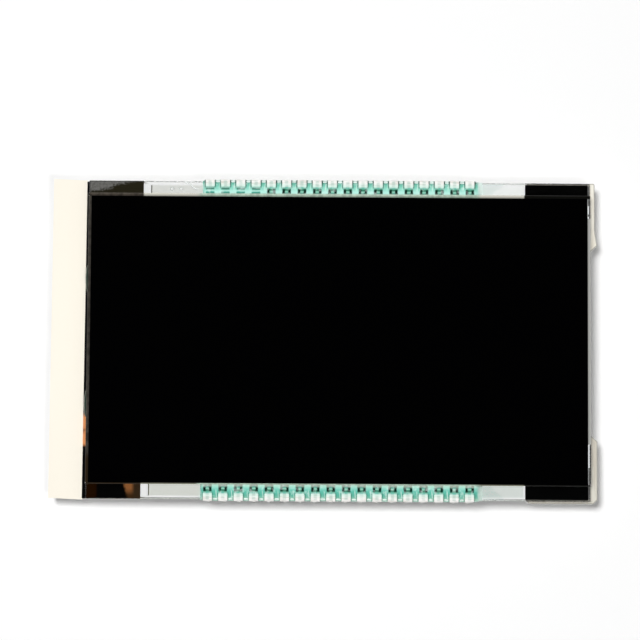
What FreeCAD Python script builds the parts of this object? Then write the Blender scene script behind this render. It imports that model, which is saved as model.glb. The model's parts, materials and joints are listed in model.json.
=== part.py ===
import FreeCAD, Part
import math
import os
import Sketcher

# Segment LCD module: a two-plate glass cell with a row of clip pins on each
# long edge, lying on an edge-lit backlight. It stands on its pin tips, face up.
#
# Frame: X along the rows of pins, Y across them, Z out of the viewing face.
# The origin is below the middle of the outer box, in the plane of the tips.
# All lengths are in millimetres.

# Driving dimensions

SIZES = {
    # Glass cell
    "glass_width": 83.28,
    "front_glass_height": 48.2,
    "ledge_width": 2.3,
    "front_glass_shift": 0.12,
    "glass_thickness": 1.1,
    "glass_arris": 0.08,
    "cell_gap": 0.05,
    "conductor_thickness": 0.01,
    "polarizer_thickness": 0.2,
    "polarizer_side_margin": 0.5,
    "polarizer_top_margin": 0.55,
    "polarizer_bottom_margin": 0.2,
    # Perimeter seal and its two filling ports
    "seal_margin": 0.5,
    "seal_width": 1.3,
    "port_width": 2.6,
    "port_spacing": 20.8,
    "port_shift": -0.4,
    "plug_length": 4.6,
    "plug_bulge": 0.45,
    "plug_rise": 0.8,
    # Clip pins
    "pins_per_row": 18,
    "pin_pitch": 2.54,
    "pin_row_shift": 0.06,
    "pin_gauge": 0.25,
    "pin_reach": 8.0,
    "clip_width": 1.5,
    "clip_edge_gap": 0.05,
    "clip_lift": 0.25,
    "clip_plate_reach": 1.1,
    "clip_contact_reach": 1.45,
    "clip_foot_reach": 1.85,
    "clip_foot_rise": 0.17,
    "clip_foot_slot": 0.45,
    "clip_ear_reach": 1.35,
    "clip_bend_radius": 0.35,
    "clip_ear_bevel": 0.2,
    "stem_width": 0.5,
    "stem_side_gap": 0.06,
    "stem_point_length": 0.35,
    "stem_point_width": 0.24,
    # Adhesive beads over the pin heads
    "bead_overhang": 0.9,
    "bead_edge_wrap": 0.24,
    "bead_inner_rise": 0.78,
    "bead_foot_rise": 0.64,
    "bead_plate_rise": 0.4,
    "bead_edge_rise": 0.12,
    "bead_underside": 0.3,
    "bead_under_reach": 1.6,
    # Gap between the cell and the backlight, filled by the tapes
    "tape_thickness": 0.4,
    "tape_left_length": 9.0,
    "tape_right_length": 10.7,
    "tape_left_rim": 0.05,
    "tape_right_rim": 0.2,
    "tape_end_margin": 0.25,
    "tape_side_width": 0.75,
    "tape_lap": 0.05,
    # Backlight films and light guide
    "diffuser_thickness": 0.2,
    "reflector_thickness": 0.1,
    "guide_thickness": 3.0,
    "guide_end_setback": 3.5,
    "guide_waist_margin": 0.3,
    "guide_right_margin": 0.1,
    "shoulder_slant": 0.7,
    "upper_tab_rise": 0.25,
    "lower_tab_rise": 0.43,
    "upper_tab_reach": 1.02,
    "lower_tab_reach": 1.37,
    "tab_corner_radius": 0.3,
    "tab_chamfer": 0.7,
    "upper_tab_start": 15.0,
    "lower_tab_start": 15.35,
    "tab_slant": 1.1,
    "snap_bump": 0.4,
    "snap_bump_length": 2.6,
    "snap_bump_radius": 0.3,
    # LED end and its cover film
    "cover_thickness": 0.15,
    "cover_gap": 0.5,
    "cover_width": 5.65,
    "cover_overhang": 0.18,
    "cover_lean": 0.13,
    "cover_slant": 0.25,
    "board_setback": 0.55,
    "board_thickness": 0.7,
    "board_end_margin": 0.9,
    "board_top_gap": 0.1,
    "led_count": 4,
    "led_length": 3.5,
    "led_height": 2.2,
    "led_air_gap": 0.1,
    "supply_pin_spacing": 15.24,
    "supply_pin_width": 0.6,
    "supply_pin_gauge": 0.25,
    "supply_pin_overlap": 2.0,
    # Digits of the electrode pattern
    "digit_count": 5,
    "digit_pitch": 15.0,
    "digit_width": 8.8,
    "digit_height": 20.0,
    "segment_width": 2.2,
    "segment_gap": 0.15,
    "trace_width": 0.12,
    "trace_inset": 0.15,
    "trace_fan_margin": 2.4,
    "bypass_offset": 0.85,
    "pad_length": 1.9,
}

SHEET = "Sizes"
PAD_SHARE_OF_CLIP = 0.8


# Lengths that keep their number and their formula together


class Length:
    """A size with its value in millimetres and the formula bound to the sheet."""

    def __init__(self, value, formula):
        self.value = float(value)
        self.formula = formula

    def __add__(self, other):
        return combined(self, "+", other, self.value + plain(other))

    def __radd__(self, other):
        return as_length(other) + self

    def __sub__(self, other):
        return combined(self, "-", other, self.value - plain(other))

    def __rsub__(self, other):
        return as_length(other) - self

    def __mul__(self, other):
        return combined(self, "*", other, self.value * plain(other))

    def __rmul__(self, other):
        return as_length(other) * self

    def __truediv__(self, other):
        return combined(self, "/", other, self.value / plain(other))

    def __neg__(self):
        return as_length(-1.0) * self


def as_length(number):
    """Wraps a plain number; a Length is passed through."""
    if isinstance(number, Length):
        return number
    return Length(number, f"({number:g})")


def plain(number):
    """The value of a Length or of a plain number."""
    return as_length(number).value


def combined(left, sign, right, value):
    """The Length that a sum, difference, product or quotient gives."""
    return Length(value, f"({left.formula} {sign} {as_length(right).formula})")


def size(name):
    """The driving dimension of that name."""
    return Length(SIZES[name], f"{SHEET}.{name}")


def count(name):
    """A driving dimension that counts pieces."""
    return int(SIZES[name])


# Document helpers


def make_sheet(doc):
    """Puts every driving dimension in the spreadsheet under its name."""
    sheet = doc.addObject("Spreadsheet::Sheet", SHEET)
    for row, (name, value) in enumerate(SIZES.items(), start=1):
        sheet.set(f"A{row}", name)
        sheet.set(f"B{row}", str(value))
        sheet.setAlias(f"B{row}", name)
    doc.recompute()
    return sheet


def bind(target, path, length):
    """Ties one property of an object to the formula of a Length."""
    target.setExpression(path, as_length(length).formula)


def place(target, x, y, z, turn=0.0):
    """Ties an object's position and its turn about Z to the sheet."""
    base = FreeCAD.Vector(plain(x), plain(y), plain(z))
    target.Placement = FreeCAD.Placement(base, FreeCAD.Rotation(turn, 0, 0))
    bind(target, ".Placement.Base.x", x)
    bind(target, ".Placement.Base.y", y)
    bind(target, ".Placement.Base.z", z)


def make_body(doc, label):
    """An empty body with a label of its own."""
    body = doc.addObject("PartDesign::Body", label)
    body.Label = label
    return body


def origin_plane(body, role):
    """One of the body's own origin planes."""
    return next(f for f in body.Origin.OriginFeatures if f.Role == role)


def block(doc, label, low, high):
    """A box between two corners, each a tuple of three Lengths."""
    box = doc.addObject("Part::Box", label)
    box.Label = label
    bind(box, "Length", high[0] - low[0])
    bind(box, "Width", high[1] - low[1])
    bind(box, "Height", high[2] - low[2])
    place(box, *low)
    return box


def boolean(doc, kind, label, base, tool):
    """A cut, fusion or common of two objects."""
    result = doc.addObject(f"Part::{kind}", label)
    result.Label = label
    result.Base = base
    result.Tool = tool
    return result


def compound(doc, label, links):
    """Several objects grouped as one set of separate solids."""
    group = doc.addObject("Part::Compound", label)
    group.Label = label
    group.Links = links
    return group


# Sketched outlines


def unit(start, end):
    """The direction from one point to another."""
    direction = end - start
    return direction / direction.Length


class Corner:
    """A corner of an outline, sharp or rounded, with the points it is drawn by."""

    def __init__(self, x, y, radius=None):
        self.x = as_length(x)
        self.y = as_length(y)
        self.radius = radius
        self.point = FreeCAD.Vector(self.x.value, self.y.value, 0)
        self.entry = self.point
        self.exit = self.point

    def draw_round(self, before, after):
        """Works out the tangent points and the arc of a rounded corner."""
        back = unit(self.point, before.point)
        ahead = unit(self.point, after.point)
        half = back.getAngle(ahead) / 2
        run = self.radius.value / math.tan(half)
        self.entry = self.point + back * run
        self.exit = self.point + ahead * run
        middle = back + ahead
        middle = middle / middle.Length
        centre = self.point + middle * (self.radius.value / math.sin(half))
        self.turns_left = (-back).cross(ahead).z > 0
        start, end = (self.entry, self.exit) if self.turns_left else (self.exit, self.entry)
        first = math.atan2(start.y - centre.y, start.x - centre.x)
        last = math.atan2(end.y - centre.y, end.x - centre.x)
        circle = Part.Circle(centre, FreeCAD.Vector(0, 0, 1), self.radius.value)
        return Part.ArcOfCircle(circle, first, last)


def add_outline(body, name, role, corners, height=None):
    """A closed outline on an origin plane, fully constrained to the sheet."""
    sketch = body.newObject("Sketcher::SketchObject", name)
    sketch.AttachmentSupport = (origin_plane(body, role), [""])
    sketch.MapMode = "FlatFace"
    if height is not None:
        sketch.AttachmentOffset.Base = FreeCAD.Vector(0, 0, height.value)
        bind(sketch, ".AttachmentOffset.Base.z", height)
    total = len(corners)
    arcs = {}
    for index, corner in enumerate(corners):
        if corner.radius is not None:
            before = corners[index - 1]
            after = corners[(index + 1) % total]
            arcs[index] = corner.draw_round(before, after)
    for index, corner in enumerate(corners):
        after = corners[(index + 1) % total]
        sketch.addGeometry(Part.LineSegment(corner.exit, after.entry), False)
    for index, corner in enumerate(corners):
        if corner.radius is None:
            join_sharp(sketch, index, total, corner)
        else:
            join_round(sketch, index, total, corner, arcs[index])
    return sketch


def pin_point(sketch, geometry, position, corner):
    """Fixes a point of the sketch at a corner's formulas."""
    for kind, length in (("DistanceX", corner.x), ("DistanceY", corner.y)):
        constraint = Sketcher.Constraint(kind, -1, 1, geometry, position, length.value)
        number = sketch.addConstraint(constraint)
        sketch.setExpression(f"Constraints[{number}]", length.formula)


def join_sharp(sketch, index, total, corner):
    """Joins the two lines of a sharp corner at its point."""
    previous = (index - 1) % total
    sketch.addConstraint(Sketcher.Constraint("Coincident", previous, 2, index, 1))
    pin_point(sketch, index, 1, corner)


def join_round(sketch, index, total, corner, arc):
    """Joins the two lines of a rounded corner by a tangent arc."""
    previous = (index - 1) % total
    mark = sketch.addGeometry(Part.Point(corner.point), True)
    bend = sketch.addGeometry(arc, False)
    near, far = (1, 2) if corner.turns_left else (2, 1)
    sketch.addConstraint(Sketcher.Constraint("Tangent", previous, 2, bend, near))
    sketch.addConstraint(Sketcher.Constraint("Tangent", bend, far, index, 1))
    sketch.addConstraint(Sketcher.Constraint("PointOnObject", mark, 1, previous))
    sketch.addConstraint(Sketcher.Constraint("PointOnObject", mark, 1, index))
    number = sketch.addConstraint(Sketcher.Constraint("Radius", bend, corner.radius.value))
    sketch.setExpression(f"Constraints[{number}]", corner.radius.formula)
    pin_point(sketch, mark, 1, corner)


def pad(body, name, sketch, length, symmetric=False, backward=False):
    """Raises an outline into a solid."""
    feature = body.newObject("PartDesign::Pad", name)
    feature.Profile = sketch
    feature.Reversed = backward
    if symmetric:
        feature.SideType = "Symmetric"
    bind(feature, "Length", length)
    return feature


def pocket(body, name, sketch, length, backward=False):
    """Cuts an outline out of the body, and checks that something was cut."""
    body.Document.recompute()
    before = body.Shape.Volume
    feature = body.newObject("PartDesign::Pocket", name)
    feature.Profile = sketch
    feature.Reversed = backward
    bind(feature, "Length", length)
    body.Document.recompute()
    if body.Shape.Volume >= before:
        raise RuntimeError(f"{name} cuts nothing")
    return feature


def rectangle(x_low, x_high, y_low, y_high):
    """The four corners of an upright rectangle."""
    return [Corner(x_low, y_low), Corner(x_high, y_low), Corner(x_high, y_high), Corner(x_low, y_high)]


# Shared levels and edges, from the driving dimensions


def left_reach():
    """From the middle of the glass to the outermost corner of the cover film."""
    return size("glass_width") / 2 + size("cover_gap") + size("cover_width") + size("cover_lean")


def right_reach():
    """From the middle of the glass to the crest of the snap bump."""
    return size("glass_width") / 2 + size("upper_tab_reach") + size("snap_bump")


def glass_x():
    """Middle of the glass along X."""
    return (left_reach() - right_reach()) / 2


def glass_bottom():
    """Underside of the rear glass, above the pin tips."""
    return size("pin_reach")


def glass_top():
    """Top of the rear glass, where the clips press."""
    return glass_bottom() + size("glass_thickness")


def cell_top():
    """Underside of the front glass."""
    return glass_top() + size("cell_gap")


def diffuser_top():
    """Top of the diffuser film, where the tapes lie."""
    return glass_bottom() - size("tape_thickness")


def guide_top():
    """Top of the light guide."""
    return diffuser_top() - size("diffuser_thickness")


def guide_bottom():
    """Underside of the light guide."""
    return guide_top() - size("guide_thickness")


def ledge():
    """Half the height of the rear glass: the edge that the clips hold."""
    return size("front_glass_height") / 2 + size("ledge_width")


def waist():
    """Half the height of the backlight where the pins pass it."""
    return ledge() - size("guide_waist_margin")


def left_edge():
    """Left edge of the glass."""
    return glass_x() - size("glass_width") / 2


def right_edge():
    """Right edge of the glass."""
    return glass_x() + size("glass_width") / 2


def cover_right():
    """Inner edge of the cover film at mid height."""
    return left_edge() - size("cover_gap")


def mat_left():
    """Left edge of the diffuser, clear of the cover film."""
    return cover_right() + size("cover_lean") * 1.5


def cover_left():
    """Outer face of the cover film at mid height."""
    return cover_right() - size("cover_width")


def board_left():
    """Outer face of the LED board."""
    return cover_left() + size("board_setback")


def front_glass_low():
    """Lower edge of the front glass."""
    return size("front_glass_shift") - size("front_glass_height") / 2


def front_glass_high():
    """Upper edge of the front glass."""
    return size("front_glass_shift") + size("front_glass_height") / 2


def row_x():
    """Middle of both pin rows along X."""
    return glass_x() + size("pin_row_shift")


def pin_x(index):
    """Middle of a pin along X, counted from the left."""
    return row_x() + size("pin_pitch") * (index - (count("pins_per_row") - 1) / 2)


# Glass cell


def make_glass_plate(doc, label, low, high, bottom):
    """A glass plate with a narrow arris ground on every edge."""
    body = make_body(doc, label)
    sides = rectangle(left_edge(), right_edge(), low, high)
    outline = add_outline(body, f"{label}_outline", "XY_Plane", sides, bottom)
    plate = pad(body, f"{label}_plate", outline, size("glass_thickness"))
    doc.recompute()
    arris = body.newObject("PartDesign::Chamfer", f"{label}_arris")
    arris.Base = (plate, ["Edge1"])
    arris.UseAllEdges = True
    bind(arris, "Size", size("glass_arris"))
    return body


def make_cell(doc):
    """Both glass plates, both polarizers and what lies between the plates."""
    rear = make_glass_plate(doc, "rear_glass", -ledge(), ledge(), glass_bottom())
    front = make_glass_plate(doc, "front_glass", front_glass_low(), front_glass_high(), cell_top())
    seal, crystal, plugs = make_seal(doc)
    return [rear, front, make_front_polarizer(doc), make_rear_polarizer(doc), seal, crystal, *plugs]


def make_front_polarizer(doc):
    """The black film on the viewing face."""
    side = size("polarizer_side_margin")
    bottom = cell_top() + size("glass_thickness")
    low = (left_edge() + side, front_glass_low() + size("polarizer_bottom_margin"), bottom)
    high = (
        right_edge() - side,
        front_glass_high() - size("polarizer_top_margin"),
        bottom + size("polarizer_thickness"),
    )
    return block(doc, "front_polarizer", low, high)


def make_rear_polarizer(doc):
    """The film under the rear glass, inside the tapes and the pin rows."""
    side = size("polarizer_side_margin") + size("tape_side_width")
    margin = size("polarizer_top_margin")
    low = (
        mat_left() + side,
        front_glass_low() + margin,
        glass_bottom() - size("polarizer_thickness"),
    )
    high = (
        right_edge() - size("polarizer_side_margin"),
        front_glass_high() - margin,
        glass_bottom(),
    )
    return block(doc, "rear_polarizer", low, high)


def make_seal(doc):
    """The perimeter seal with two ports, its filling and the two end plugs."""
    margin = size("seal_margin")
    wall = size("seal_width")
    floor = glass_top() + size("conductor_thickness")
    low = (left_edge() + margin, front_glass_low() + margin, floor)
    high = (right_edge() - margin, front_glass_high() - margin, cell_top())
    inner_low = (low[0] + wall, low[1] + wall, floor)
    inner_high = (high[0] - wall, high[1] - wall, cell_top())
    outside = block(doc, "seal_outside", low, high)
    inside = block(doc, "seal_inside", inner_low, inner_high)
    ring = boolean(doc, "Cut", "seal_ring", outside, inside)
    ports = [make_port(doc, name, side, low[0], wall) for name, side in port_sides()]
    seal = boolean(doc, "Cut", "cell_seal", ring, compound(doc, "seal_ports", ports))
    crystal = block(doc, "liquid_crystal", inner_low, inner_high)
    plugs = [make_plug(doc, name, side) for name, side in port_sides()]
    return seal, crystal, plugs


def port_sides():
    """The two filling ports: a name and the side of the middle line."""
    return (("upper", 1), ("lower", -1))


def port_y(side):
    """Middle of a filling port."""
    return size("port_shift") + size("port_spacing") * side / 2


def make_port(doc, name, side, seal_left, wall):
    """The gap in the seal at one filling port."""
    half = size("port_width") / 2
    low = (seal_left, port_y(side) - half, glass_top())
    high = (seal_left + wall, port_y(side) + half, cell_top())
    return block(doc, f"port_{name}", low, high)


def make_plug(doc, name, side):
    """A bead of sealant on the glass edges, with a tongue in the port."""
    middle = glass_top() + size("cell_gap") / 2
    bead = doc.addObject("Part::Ellipsoid", f"plug_bead_{name}")
    bind(bead, "Radius1", size("plug_rise"))
    bind(bead, "Radius2", size("plug_bulge"))
    bind(bead, "Radius3", size("plug_length") / 2)
    place(bead, left_edge(), port_y(side), middle)
    reach = size("plug_bulge") * 2
    corner = (left_edge(), port_y(side) - size("plug_length"), middle - reach)
    opposite = (left_edge() + reach, port_y(side) + size("plug_length"), middle + reach)
    glass_side = block(doc, f"plug_glass_side_{name}", corner, opposite)
    cap = boolean(doc, "Cut", f"plug_cap_{name}", bead, glass_side)
    half = size("port_width") / 2
    low = (left_edge(), port_y(side) - half, glass_top() + size("conductor_thickness"))
    depth = size("seal_margin") + size("seal_width")
    high = (left_edge() + depth, port_y(side) + half, cell_top())
    tongue = block(doc, f"plug_tongue_{name}", low, high)
    return boolean(doc, "Fuse", f"port_plug_{name}", cap, tongue)


# Electrodes on the rear glass: seven-segment digits led out to the pads


def segment_lines():
    """The centre line of each segment, in units of half the digit's size."""
    return {
        "a": ((-1, 1), (1, 1)),
        "b": ((1, 1), (1, 0)),
        "c": ((1, 0), (1, -1)),
        "d": ((-1, -1), (1, -1)),
        "e": ((-1, 0), (-1, -1)),
        "f": ((-1, 1), (-1, 0)),
        "g": ((-1, 0), (1, 0)),
    }


def flat_face(points):
    """A flat face through a closed run of points."""
    return Part.Face(Part.makePolygon([*points, points[0]]))


def segment_face(centre_x, letter):
    """A pointed bar, the form of one segment."""
    half_width = SIZES["digit_width"] / 2
    half_height = SIZES["digit_height"] / 2
    start, end = (
        FreeCAD.Vector(centre_x + x * half_width, y * half_height, 0)
        for x, y in segment_lines()[letter]
    )
    along = unit(start, end)
    across = FreeCAD.Vector(-along.y, along.x, 0) * (SIZES["segment_width"] / 2)
    start = start + along * SIZES["segment_gap"]
    end = end - along * SIZES["segment_gap"]
    shoulder = along * (SIZES["segment_width"] / 2)
    return flat_face([
        start,
        start + shoulder - across,
        end - shoulder - across,
        end,
        end - shoulder + across,
        start + shoulder + across,
    ])


def strip_face(start, end, width):
    """A straight trace of the width given, with its ends run past the points."""
    along = unit(start, end) * (width / 2)
    across = FreeCAD.Vector(-along.y, along.x, 0)
    start = start - along
    end = end + along
    return flat_face([start - across, end - across, end + across, start + across])


def trace_points(centre_x, letter, side, pad_point):
    """The way from a pad to its segment, straight run by straight run."""
    half_width = SIZES["digit_width"] / 2
    half_height = SIZES["digit_height"] / 2
    outer = half_width + SIZES["segment_width"] / 2
    tuck = outer - SIZES["trace_inset"]
    fan = side * (half_height + SIZES["trace_fan_margin"])
    bypass = -outer - SIZES["bypass_offset"]
    offsets = {"a": 0, "b": tuck, "c": tuck, "d": 0, "e": -tuck, "f": -tuck, "g": bypass}
    x = centre_x + offsets[letter]
    points = [pad_point, FreeCAD.Vector(x, fan, 0)]
    if letter in "ad":
        points.append(FreeCAD.Vector(x, side * half_height, 0))
    elif letter == "g":
        points.append(FreeCAD.Vector(x, 0, 0))
        points.append(FreeCAD.Vector(centre_x - half_width + SIZES["segment_width"] / 2, 0, 0))
    else:
        points.append(FreeCAD.Vector(x, side * (half_height - SIZES["segment_width"]), 0))
    return points


def contact_order():
    """Which segment each pin drives, from the left: digit number and letter.

    The middle bar is led out upwards on even digits and downwards on odd ones,
    and the last digit's downwards, so that both rows are used in full.
    """
    last = count("digit_count") - 1
    top = []
    bottom = []
    for digit in range(count("digit_count")):
        upward = digit % 2 == 0 and digit != last
        top += [(digit, letter) for letter in ("gfab" if upward else "fab")]
        bottom += [(digit, letter) for letter in ("edc" if upward else "gedc")]
    return top, bottom


def conductor(pad_x, side, target=None):
    """One conductor: its pad under the clip, its trace and its segment."""
    pad_half = SIZES["clip_width"] * PAD_SHARE_OF_CLIP / 2
    edge = ledge().value - SIZES["glass_arris"]
    inner = edge - SIZES["pad_length"]
    start = FreeCAD.Vector(pad_x, side * inner, 0)
    pieces = [strip_face(start, FreeCAD.Vector(pad_x, side * (edge - pad_half), 0), 2 * pad_half)]
    if target is not None:
        centre_x, letter = target
        points = trace_points(centre_x, letter, side, start)
        for first, second in zip(points, points[1:]):
            pieces.append(strip_face(first, second, SIZES["trace_width"]))
        pieces.append(segment_face(centre_x, letter))
    joined = pieces[0].fuse(pieces[1:]).removeSplitter() if len(pieces) > 1 else pieces[0]
    return joined.extrude(FreeCAD.Vector(0, 0, SIZES["conductor_thickness"]))


def make_electrodes(doc):
    """All conductors on the rear glass as one set of separate solids."""
    middle = (count("pins_per_row") - 1) / 2
    digit_middle = (count("digit_count") - 1) / 2
    solids = []
    for side, contacts in zip((1, -1), contact_order()):
        spare = count("pins_per_row") - len(contacts)
        for index in range(count("pins_per_row")):
            pad_x = (index - middle) * SIZES["pin_pitch"] + SIZES["pin_row_shift"]
            target = None
            if 0 <= index - spare < len(contacts):
                digit, letter = contacts[index - spare]
                target = ((digit - digit_middle) * SIZES["digit_pitch"], letter)
            solids.append(conductor(pad_x, side, target))
    electrodes = doc.addObject("Part::Feature", "segment_electrodes")
    electrodes.Label = "segment_electrodes"
    electrodes.Shape = Part.makeCompound([solid for shape in solids for solid in shape.Solids])
    place(electrodes, glass_x(), as_length(0), glass_top())
    return electrodes


# Clip pins


def make_clip(doc):
    """One stamped pin, drawn for the upper row with the glass edge at Y 0.

    Seen from the side it is a hook round the glass edge: a plate above the
    ledge that dips to touch it and curls up into two feet, a spine outside the
    edge, and two ears under the glass with the stem between them.
    """
    gauge = size("pin_gauge")
    inner = size("clip_edge_gap")
    outer = inner + gauge
    seat = size("glass_thickness") + size("conductor_thickness")
    plate = seat + size("clip_lift")
    foot = seat + size("clip_foot_rise")
    bevel = size("clip_ear_bevel")
    body = make_body(doc, "clip_master")
    corners = [
        Corner(-size("clip_ear_reach"), -gauge),
        Corner(outer - bevel, -gauge),
        Corner(outer, bevel - gauge),
        Corner(outer, plate + gauge, size("clip_bend_radius")),
        Corner(-size("clip_plate_reach"), plate + gauge),
        Corner(-size("clip_contact_reach"), seat + gauge),
        Corner(-size("clip_foot_reach"), foot + gauge),
        Corner(-size("clip_foot_reach"), foot),
        Corner(-size("clip_contact_reach"), seat),
        Corner(-size("clip_plate_reach"), plate),
        Corner(inner, plate),
        Corner(inner, 0),
        Corner(-size("clip_ear_reach"), 0),
    ]
    hook = add_outline(body, "clip_side", "YZ_Plane", corners)
    pad(body, "clip_hook", hook, size("clip_width"), symmetric=True)

    half_slot = size("clip_foot_slot") / 2
    slot_end = -size("clip_foot_reach") - gauge
    slot_sides = rectangle(-half_slot, half_slot, slot_end, -size("clip_contact_reach"))
    slot = add_outline(body, "foot_slot_outline", "XY_Plane", slot_sides, plate + gauge)
    pocket(body, "foot_slot", slot, plate)

    half_gap = size("stem_width") / 2 + size("stem_side_gap")
    gap_top = size("clip_bend_radius") - gauge
    gap_sides = rectangle(-half_gap, half_gap, -size("clip_ear_reach") - gauge, outer + gauge)
    gap = add_outline(body, "ear_gap_outline", "XY_Plane", gap_sides, gap_top)
    pocket(body, "ear_gap", gap, size("clip_bend_radius") + gauge)

    half_stem = size("stem_width") / 2
    half_point = size("stem_point_width") / 2
    tip = -size("pin_reach")
    neck = gap_top + gauge
    stem_sides = [
        Corner(-half_point, tip),
        Corner(half_point, tip),
        Corner(half_stem, tip + size("stem_point_length")),
        Corner(half_stem, neck),
        Corner(-half_stem, neck),
        Corner(-half_stem, tip + size("stem_point_length")),
    ]
    stem = add_outline(body, "stem_outline", "XZ_Plane", stem_sides, -inner)
    pad(body, "stem", stem, gauge, backward=True)
    return body


def repeat_body(doc, master, label):
    """A body of its own with the master's form."""
    body = make_body(doc, label)
    form = doc.addObject("PartDesign::FeatureBase", f"{label}_form")
    form.BaseFeature = master
    body.Group = [form]
    body.Tip = form
    return body


def make_pin_rows(doc, master):
    """Both rows of pins; the lower row is turned to face its own edge."""
    rows = {"top": [], "bottom": []}
    for name, side, turn in (("top", 1, 0.0), ("bottom", -1, 180.0)):
        for index in range(count("pins_per_row")):
            pin = repeat_body(doc, master, f"pin_{name}_{index + 1:02d}")
            place(pin, pin_x(index), ledge() * side, glass_bottom(), turn)
            rows[name].append(pin)
    return rows


# Adhesive


def make_bead(doc, name, pins, side, turn):
    """The bead of adhesive along one ledge, moulded round that row's pins."""
    seat = size("glass_thickness") + size("conductor_thickness")
    front_edge = front_glass_high() if side > 0 else -front_glass_low()
    wrap = size("bead_edge_wrap")
    under = size("bead_underside")
    corners = [
        Corner(front_edge - ledge(), seat),
        Corner(0, seat),
        Corner(0, 0),
        Corner(-size("bead_under_reach"), 0),
        Corner(-size("clip_ear_reach") - wrap, -under),
        Corner(-wrap, -under),
        Corner(wrap, -under + wrap + wrap),
        Corner(wrap, seat + size("bead_edge_rise")),
        Corner(-size("clip_plate_reach"), seat + size("bead_plate_rise")),
        Corner(-size("clip_foot_reach") + wrap, seat + size("bead_foot_rise")),
        Corner(front_edge - ledge(), seat + size("bead_inner_rise")),
    ]
    body = make_body(doc, f"bead_{name}")
    section = add_outline(body, f"bead_section_{name}", "YZ_Plane", corners)
    run = size("pin_pitch") * (count("pins_per_row") - 1) + size("clip_width") + size("bead_overhang") * 2
    pad(body, f"bead_run_{name}", section, run, symmetric=True)
    place(body, row_x(), ledge() * side, glass_bottom(), turn)
    row = compound(doc, f"row_{name}", pins)
    return boolean(doc, "Cut", f"adhesive_{name}", body, row)


# Backlight


def guide_corners():
    """The moulding seen from above, from its lower left corner and round."""
    end = cover_left() + size("guide_end_setback")
    top = ledge() + size("upper_tab_rise")
    bottom = -ledge() - size("lower_tab_rise")
    slant = size("shoulder_slant")
    left_shoulder = left_edge() + size("tape_left_length")
    right_shoulder = right_edge() - size("tape_right_length")
    side = right_edge() + size("guide_right_margin")
    tab = right_edge() + size("upper_tab_reach")
    low_tab = right_edge() + size("lower_tab_reach")
    bump = tab + size("snap_bump")
    low = size("lower_tab_start")
    high = size("upper_tab_start")
    run = size("tab_slant")
    bump_low = high + size("snap_bump_radius") * 4
    bump_high = bump_low + size("snap_bump_length")
    corner = size("tab_corner_radius")
    crest = size("snap_bump_radius")
    chamfer = size("tab_chamfer")
    return [
        Corner(end, -ledge()),
        Corner(left_shoulder, -ledge()),
        Corner(left_shoulder + slant, -waist()),
        Corner(right_shoulder, -waist()),
        Corner(right_shoulder + slant, bottom),
        Corner(low_tab - chamfer, bottom),
        Corner(low_tab, bottom + chamfer),
        Corner(low_tab, -low - run, corner),
        Corner(side, -low),
        Corner(side, high),
        Corner(bump, bump_low, crest),
        Corner(tab, bump_high),
        Corner(tab, top, corner),
        Corner(right_shoulder + slant, top),
        Corner(right_shoulder, waist()),
        Corner(left_shoulder + slant, waist()),
        Corner(left_shoulder, ledge()),
        Corner(end, ledge()),
    ]


def make_light_guide(doc):
    """The moulded plate that spreads the light, with its two corner tabs."""
    body = make_body(doc, "light_guide")
    outline = add_outline(body, "guide_outline", "XY_Plane", guide_corners(), guide_bottom())
    pad(body, "guide_plate", outline, size("guide_thickness"))
    return body


def make_films(doc):
    """The diffuser on the light guide and the reflector under it."""
    right = right_edge()
    low = (mat_left(), -waist(), guide_top())
    high = (right, waist(), diffuser_top())
    diffuser = block(doc, "diffuser_film", low, high)
    low = (board_left(), -waist(), guide_bottom() - size("reflector_thickness"))
    high = (right, waist(), guide_bottom())
    return [diffuser, block(doc, "reflector_film", low, high)]


def make_tapes(doc):
    """Black double-sided tapes that hold the glass off the diffuser.

    The left one runs down the whole side, where it laps over the edge of the
    cover film, and along both corners. The right ones are two strips at the
    corners.
    """
    bottom = diffuser_top()
    top = glass_bottom()
    inner = front_glass_high() - size("polarizer_top_margin") / 2
    body = make_body(doc, "tape_left")
    arm = left_edge() + size("tape_left_length")
    spine = mat_left() + size("tape_side_width")
    outer = ledge() - size("tape_left_rim")
    edge = cover_right() - size("tape_lap")
    corners = [
        Corner(edge - size("cover_lean"), -outer),
        Corner(arm, -outer),
        Corner(arm, -inner),
        Corner(spine, -inner),
        Corner(spine, inner),
        Corner(arm, inner),
        Corner(arm, outer),
        Corner(edge + size("cover_lean"), outer),
    ]
    outline = add_outline(body, "tape_left_outline", "XY_Plane", corners, bottom)
    pad(body, "tape_left_strip", outline, size("tape_thickness"))
    start = right_edge() - size("tape_right_length")
    end = right_edge() - size("tape_end_margin")
    edge = ledge() - size("tape_right_rim")
    upper = block(doc, "tape_upper_right", (start, inner, bottom), (end, edge, top))
    lower = block(doc, "tape_lower_right", (start, -edge, bottom), (end, -inner, top))
    return compound(doc, "corner_tapes", [body, upper, lower])


def make_cover(doc):
    """The cream film folded over the LED end, cut and laid on a little askew."""
    lean = size("cover_lean")
    half = ledge() + size("cover_overhang")
    slant = size("cover_slant")
    skin = size("cover_thickness")
    left = cover_left()
    right = left + size("cover_width")
    body = make_body(doc, "led_cover")
    corners = [
        Corner(left - lean, slant - half),
        Corner(right - lean, -half),
        Corner(right + lean, half),
        Corner(left + lean, half + slant),
    ]
    outline = add_outline(body, "cover_outline", "XY_Plane", corners, guide_top())
    pad(body, "cover_top", outline, skin)
    wall = [
        Corner(left - lean, slant - half),
        Corner(left - lean + skin, slant - half),
        Corner(left + lean + skin, half),
        Corner(left + lean, half),
    ]
    wall_outline = add_outline(body, "cover_wall_outline", "XY_Plane", wall, guide_top() + skin / 2)
    drop = size("guide_thickness") + size("reflector_thickness") + skin / 2
    pad(body, "cover_wall", wall_outline, drop, backward=True)
    return body


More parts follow.
